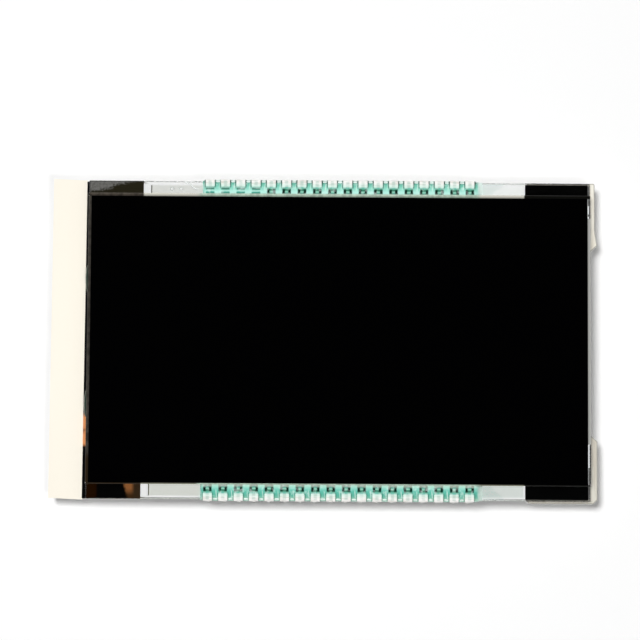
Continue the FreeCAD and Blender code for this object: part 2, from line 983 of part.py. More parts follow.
def make_led_end(doc):
    """The LED board, its LEDs and its two supply pins."""
    half = ledge() - size("board_end_margin")
    face = board_left() + size("board_thickness")
    top = guide_top() - size("board_top_gap")
    board = block(doc, "led_board", (board_left(), -half, guide_bottom()), (face, half, top))
    pieces = [board]
    middle = (guide_bottom() + guide_top()) / 2
    front = cover_left() + size("guide_end_setback") - size("led_air_gap")
    pitch = half * 2 / count("led_count")
    for index in range(count("led_count")):
        y = pitch * (index - (count("led_count") - 1) / 2)
        low = (face, y - size("led_length") / 2, middle - size("led_height") / 2)
        high = (front, y + size("led_length") / 2, middle + size("led_height") / 2)
        pieces.append(block(doc, f"led_{index + 1}", low, high))
    for name, side in (("anode", 1), ("cathode", -1)):
        pieces.append(make_supply_pin(doc, name, side))
    return pieces


def make_supply_pin(doc, name, side):
    """A flat leg soldered to the outer face of the LED board."""
    half = size("supply_pin_width") / 2
    half_point = size("stem_point_width") / 2
    y = size("supply_pin_spacing") / 2 * side
    top = guide_bottom() + size("supply_pin_overlap")
    shoulder = size("stem_point_length")
    body = make_body(doc, f"backlight_pin_{name}")
    corners = [
        Corner(y - half_point, 0),
        Corner(y + half_point, 0),
        Corner(y + half, shoulder),
        Corner(y + half, top),
        Corner(y - half, top),
        Corner(y - half, shoulder),
    ]
    outline = add_outline(body, f"{name}_outline", "YZ_Plane", corners, board_left())
    pad(body, f"{name}_leg", outline, size("supply_pin_gauge"), backward=True)
    return body


# Checks and files


def check_objects(doc):
    """Stops if an object failed to recompute."""
    for item in doc.Objects:
        for word in ("Invalid", "Error"):
            if word in item.State:
                raise RuntimeError(f"{item.Label} is {word}")


def write_parts(pieces):
    """Writes each piece to its own file once all of them are sound."""
    for piece in pieces:
        if piece.Shape.isNull() or not piece.Shape.isValid() or not piece.Shape.Solids:
            raise RuntimeError(f"{piece.Label} has no valid solid")
    for piece in pieces:
        piece.Shape.exportStep(f"parts/{piece.Label}.step")
        print(f"{piece.Label}: {len(piece.Shape.Solids)} solid, {piece.Shape.Volume:.3f} mm3")


def main():
    """Builds the module from the inside out and writes its pieces."""
    os.makedirs("parts", exist_ok=True)
    doc = FreeCAD.newDocument("segment_lcd_display")
    make_sheet(doc)
    pieces = make_cell(doc)
    pieces.append(make_electrodes(doc))
    rows = make_pin_rows(doc, make_clip(doc))
    pieces += rows["top"] + rows["bottom"]
    pieces.append(make_bead(doc, "top", rows["top"], 1, 0.0))
    pieces.append(make_bead(doc, "bottom", rows["bottom"], -1, 180.0))
    pieces.append(make_light_guide(doc))
    pieces += make_films(doc)
    pieces.append(make_tapes(doc))
    pieces.append(make_cover(doc))
    pieces += make_led_end(doc)
    doc.recompute()
    check_objects(doc)
    write_parts(pieces)


main()
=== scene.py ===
import json
import logging
import math
from dataclasses import dataclass, field
from enum import Enum

import bmesh
import bpy
from mathutils import Matrix, Vector, noise

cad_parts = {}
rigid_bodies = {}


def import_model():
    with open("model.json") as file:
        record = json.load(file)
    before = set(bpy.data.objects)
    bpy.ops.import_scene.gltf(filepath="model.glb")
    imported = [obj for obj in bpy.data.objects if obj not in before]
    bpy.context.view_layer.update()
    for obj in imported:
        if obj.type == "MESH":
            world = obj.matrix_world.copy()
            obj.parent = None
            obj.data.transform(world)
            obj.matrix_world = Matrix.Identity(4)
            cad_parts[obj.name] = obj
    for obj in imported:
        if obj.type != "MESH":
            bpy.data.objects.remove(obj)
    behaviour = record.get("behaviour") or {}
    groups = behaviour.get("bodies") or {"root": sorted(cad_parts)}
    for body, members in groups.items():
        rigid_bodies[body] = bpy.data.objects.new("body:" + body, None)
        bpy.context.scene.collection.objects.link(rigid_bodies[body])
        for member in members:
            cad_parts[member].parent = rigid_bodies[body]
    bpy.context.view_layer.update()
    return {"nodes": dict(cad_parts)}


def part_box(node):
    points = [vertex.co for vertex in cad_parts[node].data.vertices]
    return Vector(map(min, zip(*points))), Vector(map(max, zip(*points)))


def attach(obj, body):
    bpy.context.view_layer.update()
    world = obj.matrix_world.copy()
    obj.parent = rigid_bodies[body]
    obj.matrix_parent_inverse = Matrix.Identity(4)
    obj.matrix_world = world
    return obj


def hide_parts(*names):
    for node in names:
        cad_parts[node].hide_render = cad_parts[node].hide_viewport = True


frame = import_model()

log = logging.getLogger("segment_lcd_display")
MM = 0.001
BODY = "root"
PINS_PER_ROW = 18
FILM_GAP = 0.004
BLACK = (0.0, 0.0, 0.0)
WHITE = (1.0, 1.0, 1.0)


class Row(Enum):
    """One of the two rows of pins, with the way that it faces."""

    TOP = 1
    BOTTOM = -1

    @property
    def word(self) -> str:
        """The row's name as the nodes spell it."""
        return self.name.lower()


def smooth(low: float, high: float, value: float) -> float:
    """A step from 0 to 1 without corners.

    Args:
        low: Where the step starts.
        high: Where it ends.
        value: Where it is read.

    Returns:
        The height of the step there.
    """
    part = min(1.0, max(0.0, (value - low) / (high - low)))
    return part * part * (3.0 - 2.0 * part)


def blend(first: tuple, second: tuple, part: float) -> tuple:
    """Mixes two colours.

    Args:
        first: The colour at 0.
        second: The colour at 1.
        part: How much of the second.

    Returns:
        The mixed colour.
    """
    return tuple(a + (b - a) * part for a, b in zip(first, second))


@dataclass(frozen=True)
class ColorRun:
    """Colours along a distance, mixed between neighbouring stops."""

    stops: tuple[tuple[float, tuple], ...]

    def at(self, place: float) -> tuple:
        """The colour at one distance.

        Args:
            place: The distance in millimetres.

        Returns:
            The mixed colour.
        """
        for (near, first), (far, second) in zip(self.stops, self.stops[1:]):
            if place < far:
                return blend(first, second, smooth(near, far, place))
        return self.stops[-1][1]


@dataclass(frozen=True)
class Layout:
    """Places read from the frame, in millimetres."""

    @staticmethod
    def low(node: str) -> Vector:
        """The lowest corner of a node."""
        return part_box(node)[0] / MM

    @staticmethod
    def high(node: str) -> Vector:
        """The highest corner of a node."""
        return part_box(node)[1] / MM

    @staticmethod
    def middle(node: str) -> Vector:
        """The middle of a node's box."""
        return (Layout.low(node) + Layout.high(node)) / 2

    @staticmethod
    def pin_names(row: Row) -> list[str]:
        """The nodes of one row of pins, from the left."""
        return [f"pin_{row.word}_{number:02d}" for number in range(1, PINS_PER_ROW + 1)]

    @staticmethod
    def glass_edge(row: Row) -> float:
        """Y of the rear glass's edge on one side."""
        return Layout.high("rear_glass").y if row is Row.TOP else Layout.low("rear_glass").y

    @staticmethod
    def ledge_width(row: Row) -> float:
        """How far the rear glass stands out past the front glass.

        Args:
            row: The row of pins on that side.

        Returns:
            The ledge's width in millimetres.
        """
        if row is Row.TOP:
            return Layout.high("rear_glass").y - Layout.high("front_glass").y
        return Layout.low("front_glass").y - Layout.low("rear_glass").y


# Shader trees


class ShaderTree:
    """A node tree with short calls for adding and joining nodes."""

    def __init__(self, tree: bpy.types.NodeTree) -> None:
        """Takes the tree that the calls work on."""
        self.tree = tree

    def add(self, kind: str, values: dict | None = None, **settings) -> bpy.types.Node:
        """Adds a node.

        Args:
            kind: The node's type without its ShaderNode prefix, or its full name.
            values: Values or sockets for its inputs, by name or number.
            settings: Properties of the node.

        Returns:
            The new node.
        """
        full = kind if kind.startswith(("Node", "Geometry", "Function")) else f"ShaderNode{kind}"
        node = self.tree.nodes.new(full)
        for name, value in settings.items():
            setattr(node, name, value)
        for key, value in (values or {}).items():
            self.feed(node.inputs[key], value)
        return node

    def feed(self, socket: bpy.types.NodeSocket, value: object) -> None:
        """Sets an input to a value, or joins a socket to it.

        Args:
            socket: The input.
            value: A value, or the socket that feeds it.
        """
        if isinstance(value, bpy.types.NodeSocket):
            self.tree.links.new(value, socket)
        else:
            socket.default_value = value

    def math(self, operation: str, *values: object) -> bpy.types.NodeSocket:
        """One step of arithmetic.

        Args:
            operation: The Math node's operation.
            values: Numbers or sockets.

        Returns:
            The result's socket.
        """
        node = self.add("Math", dict(enumerate(values)), operation=operation)
        return node.outputs[0]

    def vector(self, operation: str, *values: object) -> bpy.types.NodeSocket:
        """One step of vector arithmetic, as a socket."""
        return self.add("VectorMath", dict(enumerate(values)), operation=operation).outputs[0]

    def step(self, value: object, low: object, high: object) -> bpy.types.NodeSocket:
        """A smooth step of a value between two limits, as a socket."""
        inputs = {"Value": value, "From Min": low, "From Max": high}
        return self.add("MapRange", inputs, interpolation_type="SMOOTHSTEP").outputs["Result"]

    def mix(self, part: object, first: object, second: object) -> bpy.types.NodeSocket:
        """Mixes two colours.

        Args:
            part: The mask.
            first: The colour at 0, as red, green and blue or as a socket.
            second: The colour at 1, likewise.

        Returns:
            The mixed colour's socket.
        """
        node = self.add("Mix", data_type="RGBA")
        self.feed(node.inputs[0], part)
        for key, color in ((6, first), (7, second)):
            self.feed(node.inputs[key], (*color, 1.0) if isinstance(color, tuple) else color)
        return node.outputs[2]

    def bump(self, surface: bpy.types.Node, height: object, distance: float, strength: float) -> None:
        """Raises a surface by a height map.

        Args:
            surface: The Principled node.
            height: The map's socket.
            distance: How far a height of 1 stands out, in millimetres.
            strength: How far the light follows it.
        """
        node = self.add("Bump", {"Height": height, "Distance": distance * MM, "Strength": strength})
        self.feed(surface.inputs["Normal"], node.outputs["Normal"])

    def glow(self, surface: bpy.types.Node, color: object, strength: float) -> None:
        """Lets a surface shine weakly by itself."""
        self.feed(surface.inputs["Emission Color"], color)
        self.feed(surface.inputs["Emission Strength"], strength)

    def grain(self, point: object, scale: float, detail: float = 3.0) -> bpy.types.NodeSocket:
        """The shared grain's mask at a point, as a socket."""
        values = {"Vector": point, "Scale": scale, "Detail": detail}
        return self.group("surface_grain", values).outputs["Mask"]

    def border(self, point: object, node: str, width: float) -> bpy.types.NodeSocket:
        """A mask along the sides of a node.

        Args:
            point: The point's socket.
            node: The node's name.
            width: The border's width in millimetres.

        Returns:
            The mask's socket.
        """
        low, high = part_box(node)
        return self.group("edge_band", {
            "Vector": point, "Middle": (low + high) / 2, "Half Size": (high - low) / 2,
            "Band": width * MM,
        }).outputs["Mask"]

    def fray(self, place: object, grain: object, reach: float) -> bpy.types.NodeSocket:
        """A place pushed to and fro by a grain, to fray a border, as a socket."""
        return self.math("MULTIPLY_ADD", self.math("SUBTRACT", grain, 0.5), reach, place)

    def gap(self, place: object, middle: float) -> bpy.types.NodeSocket:
        """How far a place is from a middle, as a socket."""
        return self.math("ABSOLUTE", self.math("SUBTRACT", place, middle))

    def coordinates(self) -> bpy.types.NodeSocket:
        """The point in the object's own coordinates, in metres."""
        return self.add("TexCoord").outputs["Object"]

    def axis(self, vector: object, name: str) -> bpy.types.NodeSocket:
        """One component of a vector, as a socket."""
        return self.add("SeparateXYZ", {0: vector}).outputs[name]

    def group(self, name: str, values: dict) -> bpy.types.Node:
        """Places one of the shared groups with its own values.

        Args:
            name: The group's name.
            values: Values or sockets for its inputs, by name.

        Returns:
            The group's node.
        """
        node = self.add("Group", node_tree=bpy.data.node_groups[name])
        for key, value in values.items():
            self.feed(node.inputs[key], value)
        return node


@dataclass(frozen=True)
class Port:
    """A named input or output of a shared group."""

    name: str
    kind: str
    way: str = "INPUT"
    value: object = None


class SharedGroups:
    """The effects that several finishes use, each built once."""

    FLOAT = "NodeSocketFloat"
    VECTOR = "NodeSocketVector"

    def build(self) -> None:
        """Builds every shared group."""
        self.grain()
        self.specks()
        self.edge_band()
        self.corner_zones()
        self.pin_phase()

    def start(self, name: str, ports: list[Port]) -> tuple[ShaderTree, bpy.types.Node, bpy.types.Node]:
        """Starts a group.

        Args:
            name: The group's name.
            ports: Its named inputs and outputs.

        Returns:
            The tree, its input node and its output node.
        """
        tree = bpy.data.node_groups.new(name, "ShaderNodeTree")
        for port in ports:
            socket = tree.interface.new_socket(name=port.name, in_out=port.way, socket_type=port.kind)
            if port.value is not None:
                socket.default_value = port.value
        shader = ShaderTree(tree)
        return shader, shader.add("NodeGroupInput"), shader.add("NodeGroupOutput")

    def grain(self) -> None:
        """Noise that can be drawn out along chosen axes, as a mask."""
        shader, given, result = self.start("surface_grain", [
            Port("Vector", self.VECTOR),
            Port("Stretch", self.VECTOR, value=(1.0, 1.0, 1.0)),
            Port("Scale", self.FLOAT, value=1000.0),
            Port("Detail", self.FLOAT, value=3.0),
            Port("Mask", self.FLOAT, "OUTPUT"),
        ])
        stretched = shader.vector("MULTIPLY", given.outputs["Vector"], given.outputs["Stretch"])
        noise_field = shader.add("TexNoise", {
            "Vector": stretched, "Scale": given.outputs["Scale"], "Detail": given.outputs["Detail"],
        })
        shader.feed(result.inputs["Mask"], noise_field.outputs[0])

    def specks(self) -> None:
        """Sparse dust: a mask that is 1 on small round specks."""
        shader, given, result = self.start("dust_specks", [
            Port("Vector", self.VECTOR),
            Port("Scale", self.FLOAT, value=300.0),
            Port("Speck Size", self.FLOAT, value=0.08),
            Port("Amount", self.FLOAT, value=0.3),
            Port("Mask", self.FLOAT, "OUTPUT"),
        ])
        cells = shader.add("TexVoronoi", {
            "Vector": given.outputs["Vector"], "Scale": given.outputs["Scale"],
        })
        inner = shader.math("MULTIPLY", given.outputs["Speck Size"], 0.5)
        near = shader.step(cells.outputs["Distance"], given.outputs["Speck Size"], inner)
        chance = shader.axis(cells.outputs["Color"], "X")
        chosen = shader.math("LESS_THAN", chance, given.outputs["Amount"])
        shader.feed(result.inputs["Mask"], shader.math("MULTIPLY", near, chosen))

    def edge_band(self) -> None:
        """A mask that is 1 along the sides of a box seen from above."""
        shader, given, result = self.start("edge_band", [
            Port("Vector", self.VECTOR),
            Port("Middle", self.VECTOR),
            Port("Half Size", self.VECTOR),
            Port("Band", self.FLOAT, value=0.0003),
            Port("Mask", self.FLOAT, "OUTPUT"),
        ])
        offset = shader.vector("SUBTRACT", given.outputs["Vector"], given.outputs["Middle"])
        size = shader.vector("ABSOLUTE", offset)
        inside = shader.vector("SUBTRACT", given.outputs["Half Size"], size)
        across = shader.axis(inside, "X")
        along = shader.axis(inside, "Y")
        nearest = shader.math("MINIMUM", across, along)
        shader.feed(result.inputs["Mask"], shader.step(nearest, given.outputs["Band"], 0.0))

    def corner_zones(self) -> None:
        """Masks for what lies over the left tape, the right tapes or neither."""
        shader, given, result = self.start("corner_zones", [
            Port("Vector", self.VECTOR),
            Port("Window Left", self.FLOAT, value=-0.0302),
            Port("Window Right", self.FLOAT, value=0.0334),
            Port("Left", self.FLOAT, "OUTPUT"),
            Port("Right", self.FLOAT, "OUTPUT"),
        ])
        along = shader.axis(given.outputs["Vector"], "X")
        left_end = shader.math("SUBTRACT", given.outputs["Window Left"], 0.0003)
        right_end = shader.math("ADD", given.outputs["Window Right"], 0.0003)
        shader.feed(result.inputs["Left"], shader.step(along, given.outputs["Window Left"], left_end))
        shader.feed(result.inputs["Right"], shader.step(along, given.outputs["Window Right"], right_end))

    def pin_phase(self) -> None:
        """The distance in metres from the middle of the nearest pin, along X."""
        names = Layout.pin_names(Row.TOP)
        first, second = Layout.middle(names[0]).x * MM, Layout.middle(names[1]).x * MM
        shader, given, result = self.start("pin_phase", [
            Port("Vector", self.VECTOR),
            Port("First Pin", self.FLOAT, value=first),
            Port("Pitch", self.FLOAT, value=second - first),
            Port("Distance", self.FLOAT, "OUTPUT"),
        ])
        along = shader.axis(given.outputs["Vector"], "X")
        offset = shader.math("SUBTRACT", along, given.outputs["First Pin"])
        turns = shader.math("DIVIDE", offset, given.outputs["Pitch"])
        nearest = shader.math("SUBTRACT", turns, shader.math("ROUND", turns))
        away = shader.math("MULTIPLY", shader.math("ABSOLUTE", nearest), given.outputs["Pitch"])
        shader.feed(result.inputs["Distance"], away)


# Finishes


@dataclass(frozen=True)
class Finish:
    """A finish: a name, the record's slot and the surface's plain values."""

    name: str
    slot: str
    color: tuple = (0.8, 0.8, 0.8)
    roughness: float = 0.5
    metallic: float = 0.0
    transmission: float = 0.0
    ior: float = 1.5
    coat: float = 0.0
    coat_roughness: float = 0.03

    def start(self) -> tuple[bpy.types.Material, ShaderTree, bpy.types.Node]:
        """Makes the material with its plain values on the shader.

        Returns:
            The material, its tree and its Principled node.
        """
        material = bpy.data.materials.new(self.name)
        material.use_nodes = True
        shader = ShaderTree(material.node_tree)
        surface = material.node_tree.nodes["Principled BSDF"]
        plain = {
            "Base Color": (*self.color, 1.0), "Roughness": self.roughness, "Metallic": self.metallic,
            "Transmission Weight": self.transmission, "IOR": self.ior, "Coat Weight": self.coat,
            "Coat Roughness": self.coat_roughness,
        }
        for name, value in plain.items():
            surface.inputs[name].default_value = value
        return material, shader, surface

    def make(self) -> bpy.types.Material:
        """Builds the material.

        Returns:
            The finished material.
        """
        material, shader, surface = self.start()
        self.dress(shader, surface)
        return material

    def dress(self, shader: ShaderTree, surface: bpy.types.Node) -> None:
        """Adds the nodes of this finish; each kind of finish has its own."""
        self.vary(shader, surface, 2500.0, 0.01, 0.08)

    def vary(self, shader: ShaderTree, surface: bpy.types.Node, scale: float, depth: float,
             spread: float, stretch: tuple = (1.0, 1.0, 1.0)) -> bpy.types.NodeSocket:
        """Varies the roughness and raises a fine grain.

        Args:
            shader: The material's tree.
            surface: Its Principled node.
            scale: The grain's fineness, per metre.
            depth: The grain's depth in millimetres.
            spread: How far the roughness varies.
            stretch: How the grain is drawn out.

        Returns:
            The grain's mask.
        """
        values = {"Vector": shader.coordinates(), "Stretch": stretch, "Scale": scale}
        mask = shader.group("surface_grain", values).outputs["Mask"]
        rough = shader.math("MULTIPLY_ADD", mask, spread * 2, self.roughness - spread)
        shader.feed(surface.inputs["Roughness"], shader.math("MAXIMUM", rough, 0.02))
        shader.bump(surface, mask, depth, 1.0)
        return mask


@dataclass(frozen=True)
class ScreenFilm(Finish):
    """The black polarizer: a gloss film with a little dust and a lifted rim."""

    rim: float = 1.6
    rim_lift: float = 0.012
    dust: tuple = (0.16, 0.16, 0.15)

    def dress(self, shader: ShaderTree, surface: bpy.types.Node) -> None:
        """Adds dust, a slight rim curl and uneven gloss.

        Args:
            shader: The material's tree.
            surface: Its Principled node.
        """
        point = shader.coordinates()
        specks = shader.group("dust_specks", {
            "Vector": point, "Scale": 120.0, "Speck Size": 0.012, "Amount": 0.12,
        }).outputs["Mask"]
        color = shader.mix(specks, self.color, self.dust)
        shader.feed(surface.inputs["Base Color"], color)
        band = shader.border(point, "front_polarizer", self.rim)
        haze = shader.grain(point, 60.0, 4.0)
        height = shader.math("MULTIPLY_ADD", haze, 0.15, shader.math("MULTIPLY", band, -1.0))
        shader.bump(surface, height, self.rim_lift, 1.0)
        rough = shader.math("MULTIPLY_ADD", haze, 0.04, self.roughness)
        shader.feed(surface.inputs["Roughness"], shader.math("MULTIPLY_ADD", specks, 0.4, rough))


@dataclass(frozen=True)
class PlateGlass(Finish):
    """Clear glass, matt and a little milky along its scribed edges, with painted shade on those edges
    over the tapes and at the sides.
    """

    node: str = "rear_glass"
    edge_color: tuple = (0.62, 0.66, 0.6)
    edge_shade_over_tape: tuple = (0.62, 0.66, 0.6)
    side_edge_shade: tuple = (0.03, 0.03, 0.028)
    left_edge_shade: tuple = (0.09, 0.095, 0.07)
    band: float = 0.16

    def dress(self, shader: ShaderTree, surface: bpy.types.Node) -> None:
        """Adds the ground edge, painted shade on it over the tapes and at the sides, and faint smears.

        Args:
            shader: The material's tree.
            surface: Its Principled node.
        """
        point = shader.coordinates()
        low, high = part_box(self.node)
        band = shader.border(point, self.node, self.band)
        chips = shader.grain(point, 2600.0, 4.0)
        broken = shader.math("MULTIPLY", band, shader.step(chips, 0.35, 0.6))
        zones = shader.group("corner_zones", {"Vector": point})
        # Painted shade: the milky edge turns dark over the right tapes (front glass), over the left tape
        # and along both sides.
        edge = shader.mix(zones.outputs["Right"], self.edge_color, self.edge_shade_over_tape)
        edge = shader.mix(zones.outputs["Left"], edge, self.left_edge_shade)
        off = shader.gap(shader.axis(point, "X"), (low.x + high.x) / 2)
        half = (high.x - low.x) / 2
        side = shader.step(off, half - self.band * MM, half - self.band * MM / 2)
        edge = shader.mix(side, edge, self.side_edge_shade)
        shader.feed(surface.inputs["Base Color"], shader.mix(broken, self.color, edge))
        smear = shader.grain(point, 90.0, 2.0)
        clean = shader.math("MULTIPLY", shader.step(smear, 0.5, 0.75), 0.03)
        shader.feed(surface.inputs["Roughness"], shader.math("MULTIPLY_ADD", broken, 0.45, clean))
        shader.bump(surface, broken, 0.01, 0.6)


@dataclass(frozen=True)
class TinPlate(Finish):
    """Bright tin over stamped strip, with the strip's rolling lines, painted resin light near the glass
    and a painted shade down the middle of each pin.
    """

    tarnish: tuple = (0.74, 0.71, 0.64)
    resin_light: tuple = (0.7, 0.94, 0.84)
    shade: tuple = (0.52, 0.66, 0.59)
    clean_edge: float = 26.35
    resin_lit_edge: float = 25.35
    spine_run: float = 0.3
    shade_half: float = 0.42

    def dress(self, shader: ShaderTree, surface: bpy.types.Node) -> None:
        """Adds the rolling lines, a warm tarnish, the resin's light painted on near the glass and a
        painted shade down the middle of each pin.

        Args:
            shader: The material's tree.
            surface: Its Principled node.
        """
        mask = self.vary(shader, surface, 3200.0, 0.012, 0.1, stretch=(0.12, 1.0, 1.0))
        cloud = shader.grain(shader.coordinates(), 900.0)
        stain = shader.math("MULTIPLY", shader.step(cloud, 0.5, 0.72), 0.35)
        lines = shader.math("MULTIPLY_ADD", shader.step(mask, 0.54, 0.6), 0.6, stain)
        color = shader.mix(lines, self.color, self.tarnish)
        # Painted light: the tin turns green towards the glass, as if lit by the teal resin.
        across = shader.math("ABSOLUTE", shader.axis(shader.coordinates(), "Y"))
        near_resin = shader.step(across, self.clean_edge * MM, self.resin_lit_edge * MM)
        resin_lit = shader.mix(near_resin, color, self.resin_light)
        # Painted shade: a darker streak down the middle of each pin inside the glass edge, broken by the
        # rolling lines.
        away = shader.group("pin_phase", {"Vector": shader.coordinates()}).outputs["Distance"]
        middle = shader.step(away, self.shade_half * MM, self.shade_half * MM * 0.3)
        rung = shader.step(mask, 0.35, 0.6)
        part = shader.math("MULTIPLY", middle, shader.math("MULTIPLY_ADD", rung, 0.55, 0.25))
        spine = shader.step(across, (self.clean_edge + self.spine_run) * MM, self.clean_edge * MM)
        covered = shader.math("MULTIPLY", part, spine)
        shader.feed(surface.inputs["Base Color"], shader.mix(covered, resin_lit, self.shade))


@dataclass(frozen=True)
class TealResin(Finish):
    """Cured adhesive, coloured by the colour written on the mesh: its tint by depth with painted shade
    and highlights.
    """

    swirl: tuple = (0.85, 1.0, 0.96)

    def dress(self, shader: ShaderTree, surface: bpy.types.Node) -> None:
        """Reads the written colour, painted shade and highlights included, and adds slow swirls.

        Args:
            shader: The material's tree.
            surface: Its Principled node.
        """
        tint = shader.add("Attribute", attribute_name="tint_and_painted_light").outputs["Color"]
        swirl = shader.grain(shader.coordinates(), 1400.0)
        lighter = shader.mix(0.35, tint, self.swirl)
        color = shader.mix(shader.step(swirl, 0.5, 0.72), tint, lighter)
        shader.feed(surface.inputs["Base Color"], color)
        shader.bump(surface, swirl, 0.02, 0.5)


@dataclass(frozen=True)
class ResinDrop(Finish):
    """A drop, lens or thread of clear resin, with a painted darker rim."""

    rim: tuple = (0.3, 0.4, 0.35)
    rim_start: float = 0.03
    rim_full: float = 0.25

    def dress(self, shader: ShaderTree, surface: bpy.types.Node) -> None:
        """Adds the painted dark rim, where the drop bends the light away, and fine waves.

        Args:
            shader: The material's tree.
            surface: Its Principled node.
        """
        turned = shader.add("LayerWeight", {"Blend": 0.5}).outputs["Facing"]
        wave = shader.grain(shader.coordinates(), 2400.0)
        body = tuple(part * 0.85 for part in self.color)
        color = shader.mix(shader.step(wave, 0.4, 0.6), body, self.color)
        color = shader.mix(shader.step(turned, self.rim_start, self.rim_full), color, self.rim)
        shader.feed(surface.inputs["Base Color"], color)
        shader.bump(surface, wave, 0.01, 0.5)


@dataclass(frozen=True)
class MouldedGuide(Finish):
    """Clear moulded plastic that looks grey-beige over the reflector, with a painted darker rim and a
    painted glow on its tabs.
    """

    inner: tuple = (0.53, 0.49, 0.42)
    rim: tuple = (0.4, 0.39, 0.34)
    glow: float = 0.41
    lower_tab_glow: tuple = (0.25, 0.24, 0.21)
    rim_glow: tuple = (0.1, 0.1, 0.09)
    light_turn: float = 4.0
    tab_start: float = 43.8
    tab_run: float = 0.2

    def dress(self, shader: ShaderTree, surface: bpy.types.Node) -> None:
        """Adds flow marks, painted shade on the rounded rim and a painted glow on the tabs, stronger on
        the upper tab.

        Args:
            shader: The material's tree.
            surface: Its Principled node.
        """
        mask = self.vary(shader, surface, 1500.0, 0.008, 0.06, stretch=(1.0, 0.09, 0.4))
        color = shader.mix(shader.step(mask, 0.42, 0.66), self.color, self.inner)
        # Painted shade: the rounded rim is darker.
        rounded = shader.add("Attribute", attribute_name="rounded_rim").outputs["Fac"]
        color = shader.mix(rounded, color, self.rim)
        shader.feed(surface.inputs["Base Color"], color)
        # Painted light: the tabs glow by themselves, the upper tab more, in place of lamp light that the
        # glass shades off them.
        point = shader.coordinates()
        upper = shader.step(shader.axis(point, "Y"), -self.light_turn * MM, self.light_turn * MM)
        light = shader.mix(upper, self.lower_tab_glow, self.color)
        light = shader.mix(rounded, light, self.rim_glow)
        start = self.tab_start * MM
        on_tab = shader.step(shader.axis(point, "X"), start, start + self.tab_run * MM)
        shader.glow(surface, shader.mix(on_tab, BLACK, light), self.glow)


